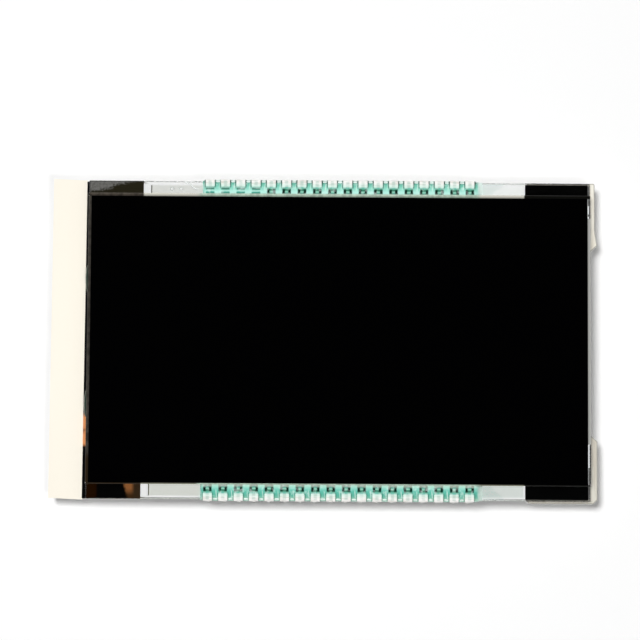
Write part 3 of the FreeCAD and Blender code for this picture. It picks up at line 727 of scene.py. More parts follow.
@dataclass(frozen=True)
class BlackTape(Finish):
    """Black tape: a painted grey sheen on the upper left corner, painted copper and brown reflections on
    the lower left.
    """

    sheen: tuple = (0.19, 0.185, 0.175)
    warm: tuple = (0.022, 0.019, 0.01)
    brown_reflection: tuple = (0.014, 0.004, 0.0)
    copper: tuple = (0.75, 0.3, 0.12)
    left_end: float = -29.5
    corner_start: float = 22.0
    wedge_lean: float = -0.22
    wedge: tuple = (33.1, 33.7)
    coarse_fray: float = 2.2
    fine_fray: float = 1.3
    flame_fray: float = 0.6
    band_right: float = -37.25
    flame_lean: float = 0.23
    flame_start: tuple = (-38.7, -38.1)
    flame_bright: tuple = (0.3, 0.115, 0.037)
    flame_dull: tuple = (0.05, 0.022, 0.007)
    flame_end: tuple = (0.036, 0.02, 0.009)
    dull_from: tuple = (-24.5, -26.0)
    end_from: tuple = (-31.9, -31.1)
    glass_left: float = -39.18
    copper_top: float = -12.0
    copper_bottom: float = -18.0
    copper_fade: tuple = (0.8, 1.2)
    left_fade: float = 0.5
    band_fade: float = 0.4
    glow: float = 0.8

    def dress(self, shader: ShaderTree, surface: bpy.types.Node) -> None:
        """Adds the painted sheen, the painted copper and brown reflections and a painted glow.

        Args:
            shader: The material's tree.
            surface: Its Principled node.
        """
        point = shader.coordinates()
        x = shader.axis(point, "X")
        y = shader.axis(point, "Y")
        left = shader.step(x, (self.left_end + self.left_fade) * MM, self.left_end * MM)
        streak = shader.group("surface_grain", {
            "Vector": point, "Stretch": (0.6, 1.0, 1.0), "Scale": 380.0, "Detail": 4.0,
        }).outputs["Mask"]
        worn = shader.step(streak, 0.44, 0.62)
        corner, fade = self.corner_start * MM, self.left_fade * MM
        lower = shader.math("MULTIPLY", left, shader.step(y, -corner, -corner - fade))
        high = shader.math("MULTIPLY", left, shader.step(y, corner, corner + fade))
        lean = shader.math("MULTIPLY_ADD", x, self.wedge_lean, y)
        fine = shader.grain(point, 2600.0)
        ragged = shader.fray(lean, streak, self.coarse_fray * MM)
        ragged = shader.fray(ragged, fine, self.fine_fray * MM)
        wedge = shader.step(ragged, self.wedge[0] * MM, self.wedge[1] * MM)
        # Painted reflection: a brown band and a copper flame on the lower left.
        brown_reflection = shader.step(x, self.band_right * MM, (self.band_right - self.band_fade) * MM)
        band = shader.math("MULTIPLY", lower, brown_reflection)
        color = shader.mix(band, self.color, self.brown_reflection)
        flame = shader.math("MULTIPLY", lower, self.flame(shader, x, y, fine))
        color = shader.mix(flame, color, self.flame_color(shader, x, y))
        color = shader.mix(high, color, self.warm)
        # Painted sheen: a grey wedge on the upper left corner.
        dull = tuple(part * 0.72 for part in self.sheen)
        grey = shader.mix(shader.step(fine, 0.35, 0.65), dull, self.sheen)
        color = shader.mix(shader.math("MULTIPLY", high, wedge), color, grey)
        bare = shader.step(x, self.glass_left * MM, (self.glass_left - 0.06) * MM)
        color = shader.mix(bare, color, self.color)
        # Painted reflection: a patchy copper strip at the left end.
        rise, fall = self.copper_fade
        above = shader.step(y, self.copper_bottom * MM, (self.copper_bottom + rise) * MM)
        below = shader.step(y, self.copper_top * MM, (self.copper_top - fall) * MM)
        strip = shader.math("MULTIPLY", above, below)
        patchy = shader.math("MULTIPLY", left, shader.step(streak, 0.2, 0.5))
        shining = shader.math("MULTIPLY", strip, patchy)
        shader.feed(surface.inputs["Base Color"], shader.mix(shining, color, self.copper))
        # Painted light: the tape glows weakly in its own colours, except on the copper strip.
        shader.glow(surface, shader.mix(shining, color, BLACK), self.glow)
        rough = shader.math("MULTIPLY_ADD", worn, -0.15, self.roughness)
        shader.feed(surface.inputs["Roughness"], rough)
        shader.bump(surface, streak, 0.02, 0.5)

    def flame(self, shader: ShaderTree, x: object, y: object, fine: object) -> bpy.types.NodeSocket:
        """Where the painted copper reflection lies on the lower left tape, as a mask.

        Args:
            shader: The material's tree.
            x: The point's X.
            y: The point's Y.
            fine: A fine grain that frays the border.

        Returns:
            The mask's socket.
        """
        lean = shader.math("MULTIPLY_ADD", y, self.flame_lean, x)
        frayed = shader.fray(lean, fine, self.flame_fray * MM)
        return shader.step(frayed, self.flame_start[0] * MM, self.flame_start[1] * MM)

    def flame_color(self, shader: ShaderTree, x: object, y: object) -> bpy.types.NodeSocket:
        """The painted copper reflection's colour, duller downward and to the right.

        Args:
            shader: The material's tree.
            x: The point's X.
            y: The point's Y.

        Returns:
            The colour's socket.
        """
        lower = shader.step(y, self.dull_from[0] * MM, self.dull_from[1] * MM)
        color = shader.mix(lower, self.flame_bright, self.flame_dull)
        right = shader.step(x, self.end_from[0] * MM, self.end_from[1] * MM)
        return shader.mix(right, color, self.flame_end)


@dataclass(frozen=True)
class ZonedLine(Finish):
    """A clear line that takes its look from the tape or the film below it."""

    over_left_tape: tuple = (0.08, 0.067, 0.053)
    over_lower_tape: tuple = (0.022, 0.013, 0.005)
    over_right_tape: tuple = (0.003, 0.003, 0.002)
    glow: float = 0.5
    inner_shade: float = 0.0
    window: tuple = (-29.9, 32.9)
    row_middle: float = 2.4
    row_half: float = 23.7
    upper_plain: tuple = (0.6, 0.59, 0.52)
    lower_plain: tuple = (0.2, 0.2, 0.15)
    film_shadow: tuple = (0.002, 0.002, 0.002)

    def dress(self, shader: ShaderTree, surface: bpy.types.Node) -> None:
        """Adds the three zones, a broken, uneven brightness, a painted shadow beside the film and a
        painted glow.

        Args:
            shader: The material's tree.
            surface: Its Principled node.
        """
        point = shader.coordinates()
        zones = shader.group("corner_zones", {
            "Vector": point, "Window Left": self.window[0] * MM, "Window Right": self.window[1] * MM,
        })
        broken = shader.grain(point, 1500.0, 4.0)
        uneven = shader.step(broken, 0.35, 0.65)
        dull = tuple(part * 0.7 for part in self.color)
        clear = shader.mix(uneven, dull, self.color)
        upper = shader.step(shader.axis(point, "Y"), -1.0 * MM, 1.0 * MM)
        plain = shader.mix(upper, self.lower_plain, self.upper_plain)
        away = shader.gap(shader.axis(point, "X"), self.row_middle * MM)
        past = shader.step(away, (self.row_half - 1.0) * MM, self.row_half * MM)
        clear = shader.mix(past, clear, plain)
        faint = tuple(part * 0.45 for part in self.over_left_tape)
        left = shader.mix(uneven, faint, self.over_left_tape)
        lower = shader.step(shader.axis(point, "Y"), -18.5 * MM, -20.0 * MM)
        left = shader.mix(lower, left, self.over_lower_tape)
        color = shader.mix(zones.outputs["Left"], clear, left)
        color = shader.mix(zones.outputs["Right"], color, self.over_right_tape)
        # Painted shadow: the line darkens on its side next to the polarizer film.
        beside_film = shader.add("Attribute", attribute_name="beside_film").outputs["Fac"]
        shaded = shader.math("MULTIPLY", beside_film, self.inner_shade)
        color = shader.mix(shaded, color, self.film_shadow)
        shader.feed(surface.inputs["Base Color"], color)
        shader.glow(surface, color, self.glow)
        shader.bump(surface, broken, 0.01, 0.6)


@dataclass(frozen=True)
class SatinFilm(Finish):
    """A smooth film or laminate with a faint mottle and a little dust."""

    shade: tuple = (0.7, 0.7, 0.7)
    mottle: float = 0.25
    glow: float = 0.0

    def dress(self, shader: ShaderTree, surface: bpy.types.Node) -> None:
        """Adds the mottle, the dust and a painted glow for the light that the glass holds back.

        Args:
            shader: The material's tree.
            surface: Its Principled node.
        """
        shader.glow(surface, (*self.color, 1.0), self.glow)
        mask = self.vary(shader, surface, 1800.0, 0.002, 0.05)
        dust = shader.group("dust_specks", {
            "Vector": shader.coordinates(), "Scale": 260.0, "Speck Size": 0.03, "Amount": 0.2,
        }).outputs["Mask"]
        cloud = shader.math("MULTIPLY", shader.step(mask, 0.45, 0.75), self.mottle)
        part = shader.math("MAXIMUM", cloud, shader.math("MULTIPLY", dust, 0.6))
        shader.feed(surface.inputs["Base Color"], shader.mix(part, self.color, self.shade))


@dataclass(frozen=True)
class LinerFilm(Finish):
    """The film seen through a ledge, which gets lighter from left to right."""

    right: tuple = (0.8, 0.8, 0.8)
    turn: tuple = (-24.0, 26.0)
    mottle_color: tuple = (0.4, 0.41, 0.38)
    glow: float = 0.0

    def dress(self, shader: ShaderTree, surface: bpy.types.Node) -> None:
        """Adds the slow change of shade, a mottle and a painted glow for the light that the glass holds
        back.

        Args:
            shader: The material's tree.
            surface: Its Principled node.
        """
        mask = self.vary(shader, surface, 1800.0, 0.002, 0.05)
        along = shader.step(shader.axis(shader.coordinates(), "X"), self.turn[0] * MM, self.turn[1] * MM)
        color = shader.mix(along, self.color, self.right)
        mottle = shader.math("MULTIPLY", shader.step(mask, 0.4, 0.75), 0.1)
        color = shader.mix(mottle, color, self.mottle_color)
        shader.feed(surface.inputs["Base Color"], color)
        shader.glow(surface, color, self.glow)


CLEAR_GLASS = (0.982, 0.992, 0.985)
FINISHES: dict[str, Finish] = {
    "screen": ScreenFilm(
        "black_polarizer", "polarizer_film", (0.0004, 0.0004, 0.0005), 0.06, ior=1.3),
    "rear_screen": SatinFilm(
        "rear_polarizer_black", "rear_polarizer_film", (0.004, 0.004, 0.005), 0.25,
        shade=(0.012, 0.012, 0.014)),
    "rear_glass": PlateGlass(
        "rear_plate_glass", "cell_glass", CLEAR_GLASS, 0.0, transmission=1.0, ior=1.52),
    "front_glass": PlateGlass(
        "front_plate_glass", "cell_glass", CLEAR_GLASS, 0.0, transmission=1.0, ior=1.52,
        node="front_glass", edge_shade_over_tape=(0.05, 0.05, 0.04)),
    "seal": ZonedLine(
        "seal_epoxy", "seal_resin", (0.42, 0.45, 0.38), 0.5, over_left_tape=(0.05, 0.045, 0.04)),
    "border": ZonedLine(
        "polarizer_gum", "polarizer_film", (0.49, 0.62, 0.51), 0.3, ior=1.3, glow=0.15,
        inner_shade=0.75),
    "side_border": ZonedLine(
        "side_gum", "polarizer_film", (0.45, 0.5, 0.52), 0.3, ior=1.3, glow=0.1,
        inner_shade=0.45, over_left_tape=(0.06, 0.054, 0.045), over_right_tape=(0.4, 0.4, 0.38)),
    "crystal": SatinFilm(
        "crystal_layer", "liquid_crystal", (0.02, 0.02, 0.025), 0.2, shade=(0.05, 0.05, 0.06)),
    "plug": Finish(
        "port_sealant_bead", "port_sealant", (0.012, 0.035, 0.022), 0.15, transmission=0.05,
        coat=0.3),
    "conductor": Finish(
        "conductor_coating", "conductor_film", (0.7, 0.75, 0.72), 0.15, transmission=0.6),
    "tin": TinPlate("bright_tin", "tin_plate", (1.0, 0.99, 0.96), 0.32, metallic=0.1),
    "lead": TinPlate(
        "bright_leads", "tin_plate", (0.93, 0.91, 0.86), 0.32, metallic=0.3,
        resin_light=(0.9, 0.88, 0.82), shade=(0.8, 0.78, 0.72)),
    "resin": TealResin(
        "teal_adhesive", "pin_adhesive", (0.3, 0.65, 0.55), 0.12, transmission=0.05, ior=1.33,
        coat=0.1),
    "clear_resin": Finish(
        "clear_adhesive", "pin_adhesive", (0.93, 0.98, 0.97), 0.04, transmission=1.0, ior=1.48),
    "thread": ResinDrop(
        "pulled_resin", "pin_adhesive", (0.9, 0.92, 0.91), 0.2, rim=(0.7, 0.75, 0.72)),
    # The edge lenses are opaque and pale: a painted highlight of the resin at the glass edge.
    "lens": ResinDrop(
        "edge_lens", "pin_adhesive", (0.82, 0.92, 0.88), 0.15, rim=(0.5, 0.7, 0.63), rim_full=0.4),
    "drop": ResinDrop(
        "resin_drop", "pin_adhesive", (0.76, 0.78, 0.76), 0.15, rim=(0.42, 0.48, 0.45)),
    "guide": MouldedGuide(
        "guide_plastic", "guide_resin", (0.66, 0.64, 0.57), 0.2, transmission=0.1, coat=0.4),
    "diffuser": SatinFilm(
        "diffuser_white", "diffuser_film", (0.93, 0.93, 0.94), 0.45, shade=(0.86, 0.86, 0.87),
        glow=0.87),
    "side_liner": SatinFilm(
        "side_liner_grey", "diffuser_film", (0.16, 0.16, 0.155), 0.4, shade=(0.32, 0.32, 0.31),
        mottle=0.9, glow=0.8),
    "liner_edge": SatinFilm(
        "liner_cut_edge", "diffuser_film", (0.06, 0.055, 0.035), 0.4, shade=(0.2, 0.2, 0.15),
        glow=0.7),
    # The two window liners are one film: a lit copy under the top ledge and a shaded copy under the
    # bottom ledge; the difference is painted light.
    "window_top": LinerFilm(
        "window_liner_bright", "diffuser_film", (0.675, 0.68, 0.655), 0.3,
        right=(0.82, 0.84, 0.83), glow=1.01),
    "window_bottom": LinerFilm(
        "window_liner_shaded", "diffuser_film", (0.64, 0.65, 0.61), 0.3,
        right=(0.64, 0.675, 0.65), glow=1.0),
    "reflector": SatinFilm(
        "reflector_white", "reflector_film", (0.87, 0.87, 0.86), 0.35, shade=(0.78, 0.78, 0.77)),
    "tape": BlackTape(
        "black_tape_skin", "black_tape", (0.0008, 0.0008, 0.0008), 0.5, ior=1.25),
    "cover": SatinFilm(
        "cream_cover", "cream_film", (0.91, 0.86, 0.755), 0.5, shade=(0.89, 0.84, 0.73),
        glow=0.04),
    "board": SatinFilm(
        "board_amber", "board_laminate", (0.34, 0.12, 0.03), 0.3, coat=0.4,
        shade=(0.5, 0.22, 0.08)),
    "led": SatinFilm(
        "led_case", "led_body", (0.85, 0.8, 0.5), 0.3, coat=0.3, shade=(0.9, 0.88, 0.7)),
}


class Wardrobe:
    """Every finish made into a material, and the calls that put them on."""

    def __init__(self) -> None:
        """Builds the materials."""
        self.materials = {name: finish.make() for name, finish in FINISHES.items()}

    def dress_node(self, node: str, finish: str) -> None:
        """Gives a CAD node a finish in its own material slots.

        Args:
            node: The node's name.
            finish: The finish's name.
        """
        target = frame["nodes"][node]
        if not target.material_slots:
            target.data.materials.append(self.materials[finish])
        for place in target.material_slots:
            place.material = self.materials[finish]

    def dress_piece(self, piece: bpy.types.Object, finish: str) -> None:
        """Gives a new piece a finish and lets it ride.

        Args:
            piece: The piece's object.
            finish: The finish's name.
        """
        piece.data.materials.clear()
        piece.data.materials.append(self.materials[finish])
        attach(piece, BODY)
        log.info("%s: %d faces", piece.name, len(piece.data.polygons))


# Mesh helpers


def in_scene(name: str, data: bpy.types.ID) -> bpy.types.Object:
    """Links a new object into the scene.

    Args:
        name: The object's name.
        data: Its mesh, curve, lamp or camera.

    Returns:
        The object.
    """
    linked = bpy.data.objects.new(name, data)
    bpy.context.scene.collection.objects.link(linked)
    return linked


def new_piece(name: str, mesh: bpy.types.Mesh, sharp_angle: float = 35.0) -> bpy.types.Object:
    """Puts a mesh in the scene with smooth faces and sharp folds.

    Args:
        name: The piece's name.
        mesh: Its mesh, in metres in the frame.
        sharp_angle: The angle in degrees past which an edge stays sharp.

    Returns:
        The new object, at the origin.
    """
    mesh.name = name
    for face in mesh.polygons:
        face.use_smooth = True
    mesh.set_sharp_from_angle(angle=math.radians(sharp_angle))
    return in_scene(name, mesh)


def evaluated_mesh(carrier: bpy.types.Object) -> bpy.types.Mesh:
    """Takes the plain mesh that a carrier makes, and removes the carrier.

    Args:
        carrier: An object with a curve or a modifier.

    Returns:
        The mesh.
    """
    graph = bpy.context.evaluated_depsgraph_get()
    mesh = bpy.data.meshes.new_from_object(carrier.evaluated_get(graph), depsgraph=graph)
    bpy.data.objects.remove(carrier, do_unlink=True)
    return mesh


def closed_mesh(shape: bmesh.types.BMesh) -> bpy.types.Mesh:
    """Makes a mesh of a shape, with its faces outward.

    Args:
        shape: The shape, which is freed.

    Returns:
        The mesh.
    """
    bmesh.ops.recalc_face_normals(shape, faces=shape.faces)
    mesh = bpy.data.meshes.new("shape")
    shape.to_mesh(mesh)
    shape.free()
    return mesh


def join_rings(shape: bmesh.types.BMesh, rings: list) -> bpy.types.Mesh:
    """Joins rings of points into one closed body.

    Args:
        shape: The shape that holds the points.
        rings: The rings in order, each with the same number of points.

    Returns:
        The body's mesh.
    """
    for near, far in zip(rings, rings[1:]):
        for index in range(len(near)):
            after = (index + 1) % len(near)
            shape.faces.new((near[index], near[after], far[after], far[index]))
    shape.faces.new(rings[0])
    shape.faces.new(rings[-1][::-1])
    return closed_mesh(shape)


def merged_copy(node: str) -> bmesh.types.BMesh:
    """A copy of a CAD node's mesh with its loose triangles joined.

    Args:
        node: The node's name.

    Returns:
        The joined mesh, with its flat faces whole.
    """
    joined = bmesh.new()
    joined.from_mesh(frame["nodes"][node].data)
    bmesh.ops.remove_doubles(joined, verts=joined.verts, dist=0.0005 * MM)
    bmesh.ops.dissolve_limit(
        joined, angle_limit=math.radians(0.5), verts=joined.verts, edges=joined.edges,
        use_dissolve_boundaries=False, delimit={"NORMAL"},
    )
    return joined


def softened(node: str, radius: float, segments: int = 2, turn: float = 50.0) -> bpy.types.Mesh:
    """A CAD node's mesh with its outer edges rounded.

    Args:
        node: The node's name.
        radius: The width of the rounding in millimetres.
        segments: How many faces the rounding has.
        turn: The angle in degrees past which an edge is rounded.

    Returns:
        The rounded mesh.
    """
    joined = merged_copy(node)
    sharp = [
        edge for edge in joined.edges
        if len(edge.link_faces) == 2 and edge.calc_face_angle() > math.radians(turn)
    ]
    bevel = bmesh.ops.bevel(
        joined, geom=sharp, offset=radius * MM, offset_type="OFFSET", segments=segments,
        profile=0.5, affect="EDGES", clamp_overlap=True,
    )
    rim = joined.loops.layers.float.new("rounded_rim")
    for face in bevel["faces"]:
        for loop in face.loops:
            loop[rim] = 1.0
    mesh = bpy.data.meshes.new(node)
    joined.to_mesh(mesh)
    joined.free()
    return mesh


# Geometry Nodes helpers


class FormTree(ShaderTree):
    """A Geometry Nodes tree with named inputs, ending in plain mesh with a material."""

    def __init__(self, name: str, inputs: list[Port]) -> None:
        """Starts the tree with its inputs and its geometry output.

        Args:
            name: The tree's name.
            inputs: Its named inputs.
        """
        tree = bpy.data.node_groups.new(name, "GeometryNodeTree")
        super().__init__(tree)
        self.ids: dict[str, str] = {}
        for port in inputs:
            socket = tree.interface.new_socket(name=port.name, in_out="INPUT", socket_type=port.kind)
            self.ids[port.name] = socket.identifier
        tree.interface.new_socket(name="Geometry", in_out="OUTPUT", socket_type="NodeSocketGeometry")
        self.given = self.add("NodeGroupInput")

    def random(self, seed: object, low: object, high: object) -> bpy.types.NodeSocket:
        """A number drawn for each point, as a socket."""
        values = {"Seed": seed, 2: low, 3: high}
        return self.add("FunctionNodeRandomValue", values, data_type="FLOAT").outputs[1]

    def scaled(self, vector: object, factor: object) -> bpy.types.NodeSocket:
        """A vector times a number, as a socket."""
        values = {0: vector, "Scale": factor}
        return self.add("VectorMath", values, operation="SCALE").outputs[0]

    def end(self, instances: bpy.types.NodeSocket) -> None:
        """Realizes the instances, sets the material and joins the output.

        Args:
            instances: The geometry's socket.
        """
        real = self.add("GeometryNodeRealizeInstances", {0: instances})
        coated = self.add("GeometryNodeSetMaterial", {
            "Geometry": real.outputs[0], "Material": self.given.outputs["Material"],
        })
        output = self.add("NodeGroupOutput")
        self.feed(output.inputs[0], coated.outputs[0])

    def run(self, name: str, values: dict) -> bpy.types.Object:
        """Evaluates the tree once and keeps the result as a plain mesh.

        Args:
            name: The new piece's name.
            values: The inputs, by name.

        Returns:
            The piece, with no modifier left on it.
        """
        carrier = in_scene(f"{name}_carrier", bpy.data.meshes.new(f"{name}_carrier"))
        modifier = carrier.modifiers.new("form", "NODES")
        modifier.node_group = self.tree
        for key, value in values.items():
            modifier[self.ids[key]] = value
        return new_piece(name, evaluated_mesh(carrier), 60.0)


def build_drop_row_tree() -> FormTree:
    """A row of small lens-shaped drops, each a little different.

    Returns:
        The tree, with its sizes as named inputs.
    """
    number = "NodeSocketFloat"
    form = FormTree("drop_row", [
        Port("Count", "NodeSocketInt"), Port("Pitch", number), Port("Start", "NodeSocketVector"),
        Port("Radius", number), Port("Flatness", "NodeSocketVector"), Port("Unevenness", number),
        Port("Seed", "NodeSocketInt"), Port("Material", "NodeSocketMaterial"),
    ])
    given = form.given.outputs
    step = form.add("CombineXYZ", {"X": given["Pitch"]})
    line = form.add("GeometryNodeMeshLine", {
        "Count": given["Count"], "Start Location": given["Start"], "Offset": step.outputs[0],
    })
    drop = form.add("GeometryNodeMeshIcoSphere", {"Radius": given["Radius"], "Subdivisions": 3})
    smallest = form.math("SUBTRACT", 1.0, given["Unevenness"])
    largest = form.math("ADD", 1.0, given["Unevenness"])
    spread = form.random(given["Seed"], smallest, largest)
    placed = form.add("GeometryNodeInstanceOnPoints", {
        "Points": line.outputs[0], "Instance": drop.outputs[0],
        "Scale": form.scaled(given["Flatness"], spread),
    })
    form.end(placed.outputs[0])
    return form


def build_edge_chip_tree() -> FormTree:
    """Shell-shaped chips scattered along a scribed glass edge.

    Returns:
        The tree, with its sizes as named inputs.
    """
    number = "NodeSocketFloat"
    form = FormTree("edge_chips", [
        Port("Count", "NodeSocketInt"), Port("Start", "NodeSocketVector"),
        Port("End", "NodeSocketVector"), Port("Chip Size", number),
        Port("Flatness", "NodeSocketVector"), Port("Seed", "NodeSocketInt"),
        Port("Material", "NodeSocketMaterial"),
    ])
    given = form.given.outputs
    line = form.add("GeometryNodeMeshLine", {
        "Count": given["Count"], "Start Location": given["Start"], "Offset": given["End"],
    }, mode="END_POINTS")
    chip = form.add("GeometryNodeMeshIcoSphere", {"Radius": given["Chip Size"], "Subdivisions": 1})
    drift = form.math("MULTIPLY", form.random(given["Seed"], -0.02, 0.0), 0.5)
    shift = form.scaled(form.vector("SUBTRACT", given["End"], given["Start"]), drift)
    moved = form.add("GeometryNodeSetPosition", {"Geometry": line.outputs[0], "Offset": shift})
    size = form.random(form.math("ADD", given["Seed"], 7.0), 0.25, 1.0)
    placed = form.add("GeometryNodeInstanceOnPoints", {
        "Points": moved.outputs[0], "Instance": chip.outputs[0],
        "Scale": form.scaled(given["Flatness"], size),
    })
    form.end(placed.outputs[0])
    return form


# Sub-assemblies


@dataclass
class Cell:
    """The glass cell: plates, polarizers, seal, filling, electrodes and plugs."""

    wardrobe: Wardrobe
    chip_size: float = 0.07
    chips_per_edge: int = 18
    seed: int = 11
    arris: float = 0.08
    gum_gap: float = 0.004
    gum_height: float = 0.05
    gum_step: float = 0.6
    right_line: tuple = (-17.1, 20.4)

    def build(self) -> None:
        """Dresses the cell's nodes and chips its scribed edges."""
        dressing = {
            "front_polarizer": "screen", "rear_polarizer": "rear_screen", "front_glass": "front_glass",
            "rear_glass": "rear_glass", "cell_seal": "seal", "liquid_crystal": "crystal",
            "segment_electrodes": "conductor", "port_plug_upper": "plug", "port_plug_lower": "plug",
        }
        for node, finish in dressing.items():
            self.wardrobe.dress_node(node, finish)
        self.chip_edges()
        self.border_polarizer()

    def border_polarizer(self) -> None:
        """Lays the gum line that shows all round the polarizer."""
        film_low, film_high = Layout.low("front_polarizer"), Layout.high("front_polarizer")
        glass_low, glass_high = Layout.low("front_glass"), Layout.high("front_glass")
        inset = self.arris
        top = (film_high.y, glass_high.y - inset)
        bottom = (glass_low.y + inset, film_low.y)
        left = (glass_low.x + inset, film_low.x)
        right = (film_high.x, glass_high.x - inset)
        self.border("top", (left[0], right[1]), top, "border")
        self.border("bottom", (left[0], right[1]), bottom, "border")
        self.border("left", left, (bottom[1], top[0]), "side_border")
        # On the right the strip's light grey stands in for the light along the glass's right edge:
        # painted light.
        self.border("right", right, self.right_line, "side_border")

    def border(self, name: str, across: tuple, along: tuple, finish: str) -> None:
        """Lays one strip of the gum line, lapped over the arris of the glass.

        Args:
            name: The side that it lies on.
            across: Its lowest and highest X in millimetres.
            along: Its lowest and highest Y in millimetres.
            finish: The finish's name.
        """
        level = Layout.high("front_glass").z + self.gum_gap
        upright = name in ("left", "right")
        low, high = along if upright else across
        inner, outer = across if upright else along
        if name in ("left", "bottom"):
            inner, outer = outer, inner
        count = int((high - low) / self.gum_step)
        strip = bmesh.new()
        beside_film = strip.verts.layers.float.new("beside_film")
        rings = []
        for index in range(count + 1):
            place = low + (high - low) * index / count
            outward = math.copysign(1.0, outer - inner)
            lip = outer + outward * (self.arris + self.gum_gap)
            profile = (
                (inner, 0.0, 1.0), (inner, self.gum_height, 1.0), (outer, self.gum_height * 0.5, 0.0),
                (lip + outward * self.gum_gap, -self.arris, 0.0), (lip, -self.arris, 0.0),
                (outer, 0.0, 0.0),
            )
            ring = []
            for side, height, nearness in profile:
                spot = (side, place, level + height) if upright else (place, side, level + height)
                vert = strip.verts.new(Vector(spot) * MM)
                vert[beside_film] = nearness
                ring.append(vert)
            rings.append(ring)
        piece = new_piece(f"polarizer_gum_{name}", join_rings(strip, rings))
        self.wardrobe.dress_piece(piece, finish)

    def chip_edges(self) -> None:
        """Scatters chips along the short edges of both plates."""
        tree = build_edge_chip_tree()
        inset = self.chip_size * 0.6
        for plate in ("rear_glass", "front_glass"):
            low, high = Layout.low(plate), Layout.high(plate)
            for side, x in (("left", low.x + inset), ("right", high.x - inset)):
                level = high.z - inset
                piece = tree.run(f"{plate}_chips_{side}", {
                    "Count": self.chips_per_edge,
                    "Start": Vector((x, low.y + 1.0, level)) * MM,
                    "End": Vector((x, high.y - 1.0, level)) * MM,
                    "Chip Size": self.chip_size * MM,
                    "Flatness": Vector((0.5, 1.6, 0.5)),
                    "Seed": self.seed,
                    "Material": self.wardrobe.materials["clear_resin"],
                })
                self.wardrobe.dress_piece(piece, plate)


@dataclass
class PinRow:
    """One row of clip pins, each softened at its stamped edges."""

    wardrobe: Wardrobe
    row: Row
    edge_radius: float = 0.05
    turn_spread: float = 0.7

    def build(self) -> None:
        """Puts a softened copy of the first pin in the place of each pin."""
        master = softened("pin_top_01", self.edge_radius)
        home = Layout.middle("pin_top_01")
        home.y = Layout.high("pin_top_01").y
        for number, node in enumerate(Layout.pin_names(self.row)):
            place = Layout.middle(node)
            place.y = Layout.high(node).y if self.row is Row.TOP else Layout.low(node).y
            half_turn = 0.0 if self.row is Row.TOP else 180.0
            wobble = noise.noise(Vector((number * 1.7, self.row.value * 3.1, 0.4))) * self.turn_spread
            turn = Matrix.Rotation(math.radians(half_turn + wobble), 4, "Z")
            away = Matrix.Translation(-Vector((home.x, home.y, 0.0)) * MM)
            back = Matrix.Translation(Vector((place.x, place.y, 0.0)) * MM)
            mesh = master.copy()
            mesh.transform(back @ turn @ away)
            piece = new_piece(f"{node}_plated", mesh, 40.0)
            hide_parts(node)
            self.wardrobe.dress_piece(piece, "tin")


